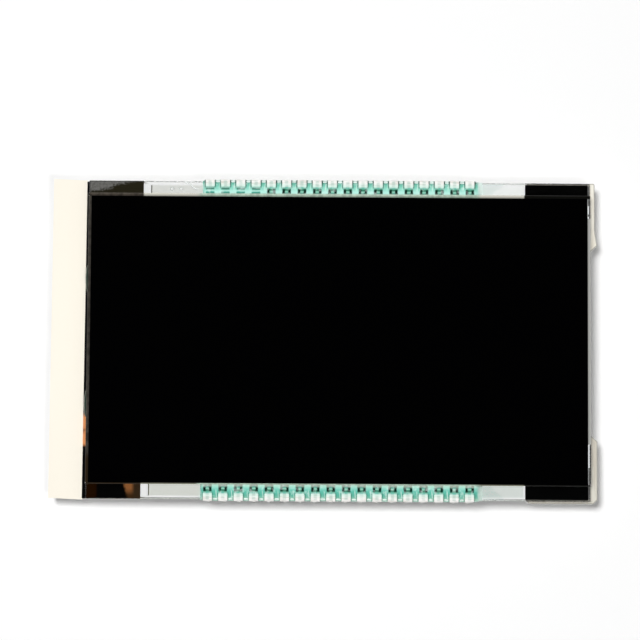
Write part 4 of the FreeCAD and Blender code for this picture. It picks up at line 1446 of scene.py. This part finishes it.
@dataclass
class AdhesiveBead:
    """The teal bead over one row: a section swept past the pins."""

    wardrobe: Wardrobe
    row: Row
    step: float = 0.085
    start_run: dict = field(default_factory=lambda: {Row.TOP: 0.495, Row.BOTTOM: 0.45})
    end_run: float = 1.35
    beside_shade_strength: dict = field(default_factory=lambda: {Row.TOP: 0.85, Row.BOTTOM: 0.45})
    clip_half: float = 0.75
    pitch: float = 2.54
    wrap: float = 0.24
    seat_gap: float = 0.006
    underside: float = 0.28
    wander: float = 0.07
    flood_end: float = -10.8
    teal: tuple = (0.15, 0.5, 0.38)
    clear_top: tuple = (0.7, 0.82, 0.77)
    clear_bottom: tuple = (0.54, 0.66, 0.6)
    glint: tuple = (0.85, 0.98, 0.93)
    edge_shade_start: float = -17.0
    edge_shade_color: tuple = (0.01, 0.045, 0.03)
    beside_shade_color: tuple = (0.005, 0.05, 0.035)
    beside_shift: float = 0.07
    beside_width: float = 0.1
    open_rise: tuple = (0.1, 0.3, 0.22, 0.14)
    clip_rise: tuple = (0.34, 0.2, 0.1, 0.14)
    climb: float = 0.16
    climb_run: float = 0.13
    sag: float = 0.1
    top_spans: int = 20
    # Between the pins the tint runs from a painted highlight at the glass edge through a painted dark
    # band into the resin's teal, lighter inward.
    between_top: ColorRun = ColorRun((
        (-0.3, (0.75, 0.85, 0.8)), (-0.14, (0.68, 0.8, 0.75)), (0.02, (0.3, 0.52, 0.45)),
        (0.24, (0.16, 0.46, 0.36)), (0.6, (0.19, 0.6, 0.46)), (1.2, (0.32, 0.77, 0.63)),
        (1.9, (0.5, 0.9, 0.79)), (2.3, (0.52, 0.76, 0.66)),
    ))
    between_bottom: ColorRun = ColorRun((
        (-0.3, (0.4, 0.62, 0.52)), (0.1, (0.36, 0.6, 0.48)), (0.42, (0.19, 0.52, 0.4)),
        (0.75, (0.12, 0.49, 0.37)), (1.25, (0.13, 0.56, 0.43)), (1.58, (0.19, 0.62, 0.5)),
        (1.9, (0.31, 0.72, 0.6)), (2.3, (0.5, 0.82, 0.68)),
    ))
    # Over the pins the runs paint the shade and highlights of the plates and feet seen through the
    # resin: dark bands, black feet and a light streak; the flood on the first top pins carries painted
    # dark lines and a highlight too.
    over_plate: ColorRun = ColorRun((
        (0.4, (0.44, 0.66, 0.6)), (0.75, (0.44, 0.7, 0.65)), (0.9, (0.32, 0.66, 0.58)),
        (1.08, (0.15, 0.52, 0.41)), (1.25, (0.14, 0.46, 0.33)), (1.41, (0.02, 0.15, 0.09)),
        (1.56, (0.06, 0.27, 0.18)), (1.74, (0.34, 0.7, 0.54)), (1.9, (0.16, 0.49, 0.37)),
        (2.07, (0.13, 0.33, 0.28)), (2.24, (0.45, 0.55, 0.48)),
    ))
    over_foot: ColorRun = ColorRun((
        (0.4, (0.66, 0.8, 0.72)), (0.75, (0.68, 0.82, 0.74)), (0.92, (0.56, 0.77, 0.7)),
        (1.08, (0.33, 0.62, 0.52)), (1.22, (0.15, 0.4, 0.3)), (1.36, (0.002, 0.06, 0.03)),
        (1.5, (0.001, 0.02, 0.012)), (1.88, (0.001, 0.008, 0.006)), (2.04, (0.09, 0.19, 0.14)),
        (2.2, (0.38, 0.45, 0.37)),
    ))
    flood: ColorRun = ColorRun((
        (1.1, (0.3, 0.56, 0.47)), (1.3, (0.02, 0.12, 0.08)), (1.45, (0.1, 0.4, 0.3)),
        (1.65, (0.5, 0.85, 0.75)), (1.85, (0.1, 0.48, 0.37)), (2.0, (0.03, 0.25, 0.19)),
        (2.3, (0.5, 0.6, 0.55)),
    ))

    def build(self) -> None:
        """Builds the bead in place of its node."""
        nodes = Layout.pin_names(self.row)
        self.first = Layout.middle(nodes[0]).x
        self.last = Layout.middle(nodes[-1]).x
        self.edge = Layout.glass_edge(self.row)
        self.seat = Layout.high("rear_glass").z + self.seat_gap
        self.depth = Layout.ledge_width(self.row) - self.seat_gap
        piece = new_piece(f"adhesive_{self.row.word}_bead", self.sweep(), 50.0)
        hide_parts(f"adhesive_{self.row.word}")
        self.wardrobe.dress_piece(piece, "resin")

    def pin_distance(self, x: float) -> float:
        """How far X is from the middle of the nearest pin.

        Args:
            x: The place in millimetres.

        Returns:
            The distance in millimetres.
        """
        number = round((x - self.first) / self.pitch)
        number = min(PINS_PER_ROW - 1, max(0, number))
        return abs(x - self.first - number * self.pitch)

    def rise(self, inward: float, away: float) -> float:
        """The height of the top surface above the ledge.

        Args:
            inward: The distance in from the glass edge.
            away: The distance from the middle of the nearest pin.

        Returns:
            The height in millimetres.
        """
        low, outer, inner, last = self.open_rise
        slope = low + outer * smooth(-0.1, 1.1, inward) + inner * smooth(0.9, 1.8, inward)
        slope += last * smooth(1.8, self.depth, inward)
        beside = self.clip_half
        over = smooth(beside + 0.02, beside - 0.08, away)
        climb = self.climb * math.exp(-max(0.0, away - beside) / self.climb_run)
        climb *= 1.0 - smooth(1.0, 1.7, inward)
        sag = self.sag * smooth(beside + 0.05, self.pitch / 2, away)
        sag *= 1.0 - smooth(0.9, 1.9, inward)
        open_height = slope + climb - sag
        low, outer, inner, last = self.clip_rise
        on_clip = low + outer * smooth(0.72, 1.0, inward) + inner * smooth(1.0, 1.5, inward)
        on_clip += last * smooth(1.8, self.depth, inward)
        return open_height + (on_clip - open_height) * over

    def tint(self, x: float, inward: float) -> tuple:
        """The colour at a point of the bead's surface: its tint by depth, with painted shade and
        highlights beside and over the pins, and the clear end.

        Args:
            x: The point's X in millimetres.
            inward: Its distance in from the glass edge.

        Returns:
            The colour.
        """
        drift = noise.noise(Vector((x * 1.1, inward * 1.5, self.row.value * 2.0))) * self.wander
        place = inward + drift
        away = self.pin_distance(x) + drift
        color = (self.between_top if self.row is Row.TOP else self.between_bottom).at(place)
        if self.row is Row.TOP:
            # Painted shade along the bead's outer edge between the pins.
            color = blend(color, self.edge_shade_color, self.bow_edge_shade(x, place, away))
        # Painted shade: a dark line in the resin beside each pin's flank.
        past_clip = away - self.clip_half - self.beside_shift
        beside = math.exp(-(past_clip / self.beside_width) ** 2)
        dark = self.beside_shade_strength[self.row] * beside * smooth(1.3, 0.9, place)
        color = blend(color, self.beside_shade_color, dark)
        # Painted highlight: a glint in the resin beside each pin's left flank.
        color = blend(color, self.glint, self.streak(x, place))
        plate = self.over_plate.at(place)
        foot = self.over_foot.at(place)
        covered = blend(plate, foot, smooth(0.18, 0.36, away))
        if self.row is Row.TOP:
            flooded = smooth(self.flood_end + 0.6, self.flood_end, x)
            covered = blend(covered, self.flood.at(place), flooded)
        color = blend(color, covered, smooth(self.clip_half + 0.05, self.clip_half - 0.12, away))
        past = x - self.last - self.clip_half + drift * 3.0
        clear = self.clear_top if self.row is Row.TOP else self.clear_bottom
        return blend(color, clear, smooth(0.4, 1.0, past))

    def streak(self, x: float, place: float) -> float:
        """How bright the painted glint is that runs in beside a pin's left flank.

        Args:
            x: The point's X in millimetres.
            place: Its distance in from the glass edge.

        Returns:
            The share of the light colour.
        """
        number = min(PINS_PER_ROW, max(0, math.ceil((x - self.first) / self.pitch)))
        ahead = self.first + number * self.pitch - x
        lively = noise.noise(Vector((number * 2.3, self.row.value * 5.0, 7.7)))
        bend = self.clip_half + 0.2 + 0.1 * lively + 0.12 * place
        long = smooth(0.15, 0.45, place) * smooth(1.7 + 0.3 * lively, 1.2, place)
        return (0.55 + 0.45 * lively) * long * math.exp(-(((ahead - bend) / 0.075) ** 2))

    def bow_edge_shade(self, x: float, place: float, away: float) -> float:
        """How dark the painted shade is along the bead's edge between two pins.

        Args:
            x: The point's X in millimetres.
            place: Its distance in from the glass edge.
            away: Its distance from the middle of the nearest pin.

        Returns:
            The share of the dark colour, thin midway and wide beside the pins.
        """
        bow = smooth(self.pitch / 2, self.clip_half, away)
        thick = 0.075 + 0.13 * bow
        begun = smooth(self.edge_shade_start - 2.0, self.edge_shade_start + 2.0, x)
        strength = (0.75 + 0.25 * bow) * (0.35 + 0.65 * begun)
        strength *= smooth(self.last + 1.4, self.last + 0.9, x)
        return strength * math.exp(-(((place - 0.05) / thick) ** 2))

    def section(self, x: float, part: float) -> list[tuple[float, float, tuple]]:
        """The bead's section at one X.

        Args:
            x: Where the section is taken, in millimetres.
            part: The share of the full size, below 1 at the bead's ends.

        Returns:
            Distance in from the glass edge, height and colour of each point.
        """
        away = self.pin_distance(x)
        points = []
        inner = self.depth
        wrap = self.wrap * max(0.1, part)
        for index in range(self.top_spans + 1):
            inward = inner - (inner + wrap) * index / self.top_spans
            height = self.seat + self.rise(inward, away) * part
            points.append((inward, height, self.tint(x, inward)))
        bottom = Layout.low("rear_glass").z
        gap = self.seat_gap
        sunk = self.underside * part
        wave = noise.noise(Vector((x * 0.8, 4.0, self.row.value))) * 0.03
        outline = [
            (-wrap, bottom + 0.55), (-wrap * 0.9, bottom + 0.05),
            (-0.02, bottom - sunk * 0.8 - gap), (0.5, bottom - sunk - gap),
            (1.2 + wave, bottom - sunk * 0.9 - gap), (1.55 + wave, bottom - gap * 1.5),
            (-gap, bottom - gap), (-gap, self.seat), (inner, self.seat),
        ]
        points += [(inward, height, self.teal) for inward, height in outline]
        return points

    def sweep(self) -> bpy.types.Mesh:
        """Joins the sections into one closed mesh with its depth colours.

        Returns:
            The bead's mesh.
        """
        start = self.first - self.clip_half - self.start_run[self.row]
        end = self.last + self.clip_half + self.end_run
        count = int((end - start) / self.step)
        bead = bmesh.new()
        tints = bead.verts.layers.float_color.new("tint_and_painted_light")
        rings = []
        for index in range(count + 1):
            x = start + (end - start) * index / count
            part = max(0.07, min(1.0, smooth(-0.25, 0.5, x - start), smooth(-0.1, 1.4, end - x)))
            ring = []
            for inward, height, color in self.section(x, part):
                y = self.edge - self.row.value * inward
                vert = bead.verts.new(Vector((x, y, height)) * MM)
                vert[tints] = (*color, 1.0)
                ring.append(vert)
            rings.append(ring)
        return join_rings(bead, rings)


@dataclass
class ResinSpread:
    """Clear resin that ran along the ledge past the last pin."""

    wardrobe: Wardrobe
    row: Row
    offset: float = 2.12
    length: float = 3.6
    height: float = 0.1
    rim_height: float = 0.012
    outer_gap: float = 0.12
    both_gaps: float = 0.2
    rows: int = 14
    columns: int = 40

    def build(self) -> None:
        """Builds the fan of resin at the right end of the row."""
        nodes = Layout.pin_names(self.row)
        start = Layout.middle(nodes[-1]).x + self.offset
        edge = Layout.glass_edge(self.row)
        depth = Layout.ledge_width(self.row)
        seat = Layout.high("rear_glass").z + FILM_GAP
        fan = bmesh.new()
        top, bottom = [], []
        for column in range(self.columns + 1):
            along = column / self.columns
            for line, z_share in ((top, 1.0), (bottom, 0.0)):
                strip = []
                for row in range(self.rows + 1):
                    share = row / self.rows
                    inward = self.outer_gap + (depth - self.both_gaps) * share
                    reach = self.length * (0.45 + 0.55 * math.cos(math.pi * 0.5 * share) ** 2)
                    crown = math.sin(math.pi * min(1.0, 0.08 + 0.92 * share)) ** 0.6
                    fade = (1.0 - along) ** 0.7
                    z = seat + z_share * (self.rim_height + self.height * crown * fade)
                    point = Vector((start + reach * along, edge - self.row.value * inward, z))
                    strip.append(fan.verts.new(point * MM))
                line.append(strip)
        self.skin(fan, top, False)
        self.skin(fan, bottom, True)
        self.close(fan, top, bottom)
        piece = new_piece(f"resin_spread_{self.row.word}", closed_mesh(fan), 60.0)
        self.wardrobe.dress_piece(piece, "clear_resin")

    @staticmethod
    def skin(fan: bmesh.types.BMesh, lines: list, flipped: bool) -> None:
        """Fills a grid of points with faces.

        Args:
            fan: The shape that holds the points.
            lines: The grid's lines of points.
            flipped: Whether the faces are turned over.
        """
        for near, far in zip(lines, lines[1:]):
            for index in range(len(near) - 1):
                corners = [near[index], far[index], far[index + 1], near[index + 1]]
                fan.faces.new(corners[::-1] if flipped else corners)

    @staticmethod
    def close(fan: bmesh.types.BMesh, top: list, bottom: list) -> None:
        """Joins the rims of the upper and the lower grid.

        Args:
            fan: The shape that holds the points.
            top: The upper grid.
            bottom: The lower grid.
        """
        upper, lower = (
            grid[0] + [line[-1] for line in grid[1:]] + grid[-1][-2::-1]
            + [line[0] for line in grid[-2:0:-1]]
            for grid in (top, bottom)
        )
        for index in range(len(upper)):
            after = (index + 1) % len(upper)
            fan.faces.new((upper[index], upper[after], lower[after], lower[index]))


@dataclass
class StrayResin:
    """Two stray drops and a pulled thread of resin left of the top row."""

    wardrobe: Wardrobe
    tree: FormTree
    first_drop: tuple = (-25.45, 25.1)
    drop_pitch: float = 1.5
    drop_radius: float = 0.34
    thread: tuple = ((-23.4, 26.15), (-22.75, 26.15), (-22.25, 25.7), (-21.75, 25.15), (-21.05, 24.98))
    thread_radius: float = 0.16
    lift: float = 0.03
    seed: int = 3

    def build(self) -> None:
        """Places the drops and draws the thread."""
        level = Layout.high("rear_glass").z + self.lift
        drops = self.tree.run("stray_drops", {
            "Count": 2,
            "Pitch": self.drop_pitch * MM,
            "Start": Vector((*self.first_drop, level)) * MM,
            "Radius": self.drop_radius * MM,
            "Flatness": Vector((1.0, 0.85, 0.3)),
            "Unevenness": 0.15,
            "Seed": self.seed,
            "Material": self.wardrobe.materials["drop"],
        })
        self.wardrobe.dress_piece(drops, "drop")
        line = bpy.data.curves.new("resin_thread", "CURVE")
        line.dimensions = "3D"
        line.bevel_depth = self.thread_radius * MM
        line.bevel_resolution = 4
        line.use_fill_caps = True
        spline = line.splines.new("NURBS")
        spline.points.add(len(self.thread) - 1)
        for point, (x, y) in zip(spline.points, self.thread):
            point.co = (*(Vector((x, y, level + self.lift)) * MM), 1.0)
        spline.order_u = 3
        spline.use_endpoint_u = True
        mesh = evaluated_mesh(in_scene("resin_thread_line", line))
        floor = Layout.high("rear_glass").z + FILM_GAP
        for vert in mesh.vertices:
            vert.co.z = max(vert.co.z, floor * MM)
        self.wardrobe.dress_piece(new_piece("resin_thread", mesh, 60.0), "thread")


@dataclass
class EdgeMenisci:
    """Small lenses of resin between the pins, at the glass edge, coloured pale as a painted highlight.
    """

    wardrobe: Wardrobe
    row: Row
    tree: FormTree
    radius: float = 0.42
    lift: float = 0.12
    inset: float = 0.06
    seed: int = 5

    def build(self) -> None:
        """Places one lens in each space between two pins."""
        names = Layout.pin_names(self.row)
        first, second = Layout.middle(names[0]), Layout.middle(names[1])
        pitch = second.x - first.x
        level = Layout.high("rear_glass").z + self.lift
        y = Layout.glass_edge(self.row) - self.row.value * self.inset
        piece = self.tree.run(f"edge_menisci_{self.row.word}", {
            "Count": PINS_PER_ROW - 1,
            "Pitch": pitch * MM,
            "Start": Vector((first.x + pitch / 2, y, level)) * MM,
            "Radius": self.radius * MM,
            "Flatness": Vector((0.95, 0.36, 0.2)),
            "Unevenness": 0.12,
            "Seed": self.seed + self.row.value,
            "Material": self.wardrobe.materials["lens"],
        })
        self.wardrobe.dress_piece(piece, "lens")


@dataclass
class Backlight:
    """The light guide, its films and tapes, and the LED end."""

    wardrobe: Wardrobe
    guide_radius: float = 0.16
    film_radius: float = 0.05
    tape_radius: float = 0.05
    tape_gap: float = 0.015
    liner_inset: float = 0.25
    liner_left: float = 10.4
    liner_right: float = 11.0
    liner_thickness: float = 0.02
    liner_edge: float = 0.18
    liner_tuck: float = 0.4
    side_runs: tuple = ((22.75, 26.1), (20.95, 21.35), (16.3, 18.9), (-26.1, -20.9))

    def build(self) -> None:
        """Dresses the nodes and softens the moulding and the cover film."""
        for node, finish in {
            "diffuser_film": "diffuser", "reflector_film": "reflector",
            "led_board": "board", "led_1": "led", "led_2": "led", "led_3": "led", "led_4": "led",
            "backlight_pin_anode": "lead", "backlight_pin_cathode": "lead",
        }.items():
            self.wardrobe.dress_node(node, finish)
        self.soften("light_guide", "guide", self.guide_radius, 3)
        self.soften("led_cover", "cover", self.film_radius, 2)
        self.lay_tapes()
        self.lay_liners()

    def lay_tapes(self) -> None:
        """Lays the tapes a hair under the glass, with rounded cut edges."""
        mesh = softened("corner_tapes", self.tape_radius)
        top = Layout.high("corner_tapes").z - self.tape_radius / 2
        for vert in mesh.vertices:
            if vert.co.z > top * MM:
                vert.co.z -= self.tape_gap * MM
        piece = new_piece("corner_tapes_laid", mesh)
        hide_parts("corner_tapes")
        self.wardrobe.dress_piece(piece, "tape")

    def soften(self, node: str, finish: str, radius: float, segments: int) -> None:
        """Puts a copy with rounded edges in a node's place.

        Args:
            node: The node's name.
            finish: The finish's name.
            radius: The width of the rounding in millimetres.
            segments: How many faces the rounding has.
        """
        piece = new_piece(f"{node}_moulded", softened(node, radius, segments))
        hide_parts(node)
        self.wardrobe.dress_piece(piece, finish)

    def lay_liners(self) -> None:
        """Lays the films that show through the ledges, and grey strips that darken the diffuser at the
        right side.
        """
        left = Layout.low("rear_glass").x + self.liner_left
        right = Layout.high("rear_glass").x - self.liner_right
        for row in Row:
            outer = Layout.high("diffuser_film").y - self.liner_inset
            inner = abs(Layout.glass_edge(row)) - Layout.ledge_width(row) - self.liner_tuck
            along = tuple(sorted((row.value * inner, row.value * outer)))
            self.lay_strip(f"window_liner_{row.word}", (left, right), along, f"window_{row.word}")
            edge = (left - self.liner_edge, left - FILM_GAP)
            self.lay_strip(f"window_liner_edge_{row.word}", edge, along, "liner_edge")
        side = (Layout.high("corner_tapes").x + FILM_GAP, Layout.high("diffuser_film").x - 0.01)
        for number, along in enumerate(self.side_runs, 1):
            self.lay_strip(f"side_liner_{number}", side, along, "side_liner")

    def lay_strip(self, name: str, across: tuple, along: tuple, finish: str) -> None:
        """Lays one thin strip of film on the diffuser.

        Args:
            name: The piece's name.
            across: Its lowest and highest X in millimetres.
            along: Its lowest and highest Y in millimetres.
            finish: The finish's name.
        """
        level = Layout.high("diffuser_film").z
        low = Vector((across[0], along[0], level)) * MM
        high = Vector((across[1], along[1], level + self.liner_thickness)) * MM
        shape = bmesh.new()
        bmesh.ops.create_cube(shape, size=1.0)
        bmesh.ops.scale(shape, vec=high - low, verts=shape.verts)
        bmesh.ops.translate(shape, vec=(low + high) / 2, verts=shape.verts)
        bmesh.ops.bevel(shape, geom=shape.edges, offset=FILM_GAP * MM, segments=1, affect="EDGES")
        self.wardrobe.dress_piece(new_piece(name, closed_mesh(shape)), finish)


@dataclass(frozen=True)
class Softbox:
    """A square lamp that lights the display but is mirrored in nothing."""

    name: str
    power: float
    size: float
    place: tuple[float, float, float]

    def build(self) -> None:
        """Hangs the lamp and turns it to the middle of the display."""
        lamp = bpy.data.lights.new(self.name, "AREA")
        lamp.energy = self.power
        lamp.size = self.size
        box = in_scene(self.name, lamp)
        box.location = self.place
        box.visible_glossy = False
        box.visible_transmission = False
        box.rotation_euler = (-box.location).to_track_quat("-Z", "Y").to_euler()


@dataclass
class Studio:
    """The pale floor, the soft light and the camera."""

    floor_size: float = 3.0
    dome_strength: float = 0.12
    cap_angle: float = 9.5
    cap_blur: float = 2.5
    cap_lean: tuple = (0.0, 4.4)
    lamps: tuple[Softbox, ...] = (
        Softbox("key", 6.9, 0.15, (-0.135, 0.065, 0.9)),
        Softbox("fill", 1.45, 0.09, (0.15, -0.2, 0.9)),
    )
    camera_place: tuple = (-3.65, -34.4, 449.9)
    camera_turn: tuple = (4.89, -0.41, 0.34)
    focal_pixels: float = 2669.0
    frame_pixels: float = 640.0
    sensor: float = 36.0

    def build(self) -> None:
        """Sets up floor, light, view and colours."""
        self.lay_floor()
        self.light_dome()
        for lamp in self.lamps:
            lamp.build()
        self.place_camera()
        bpy.context.scene.view_settings.view_transform = "Standard"

    def lay_floor(self) -> None:
        """Lays the plain floor under the pin tips."""
        mesh = bpy.data.meshes.new("floor")
        half = self.floor_size / 2
        corners = [(-half, -half, 0), (half, -half, 0), (half, half, 0), (-half, half, 0)]
        mesh.from_pydata(corners, [], [(0, 1, 2, 3)])
        floor = in_scene("floor", mesh)
        mesh.materials.append(Finish("floor_white", "", (0.93, 0.93, 0.93), 0.9).start()[0])

    def light_dome(self) -> None:
        """A white dome with a dark cap where the screen mirrors the camera."""
        world = bpy.data.worlds.new("studio")
        bpy.context.scene.world = world
        world.use_nodes = True
        shader = ShaderTree(world.node_tree)
        background = world.node_tree.nodes["Background"]
        lean_x, lean_y = (math.tan(math.radians(angle)) for angle in self.cap_lean)
        centre = Vector((lean_x, lean_y, 1.0)).normalized()
        ray = shader.add("TexCoord").outputs["Generated"]
        product = shader.add("VectorMath", {0: ray, 1: centre}, operation="DOT_PRODUCT")
        toward = product.outputs["Value"]
        outer = math.cos(math.radians(self.cap_angle + self.cap_blur))
        inner = math.cos(math.radians(self.cap_angle))
        open_sky = shader.step(toward, inner, outer)
        shader.feed(background.inputs["Color"], shader.mix(open_sky, BLACK, WHITE))
        background.inputs["Strength"].default_value = self.dome_strength

    def place_camera(self) -> None:
        """Looks down on the display as the photograph does."""
        lens = bpy.data.cameras.new("camera")
        lens.sensor_width = self.sensor
        lens.lens = self.focal_pixels * self.sensor / self.frame_pixels
        lens.clip_start = 0.01
        camera = in_scene("camera", lens)
        camera.location = Vector(self.camera_place) * MM
        camera.rotation_euler = [math.radians(angle) for angle in self.camera_turn]
        bpy.context.scene.camera = camera


def main() -> None:
    """Builds the display piece by piece, then the studio."""
    logging.basicConfig(level=logging.INFO, format="%(message)s")
    SharedGroups().build()
    wardrobe = Wardrobe()
    Cell(wardrobe).build()
    drops = build_drop_row_tree()
    StrayResin(wardrobe, drops).build()
    for row in Row:
        PinRow(wardrobe, row).build()
        AdhesiveBead(wardrobe, row).build()
        EdgeMenisci(wardrobe, row, drops).build()
        ResinSpread(wardrobe, row).build()
    Backlight(wardrobe).build()
    Studio().build()


if __name__ == "__main__":
    main()
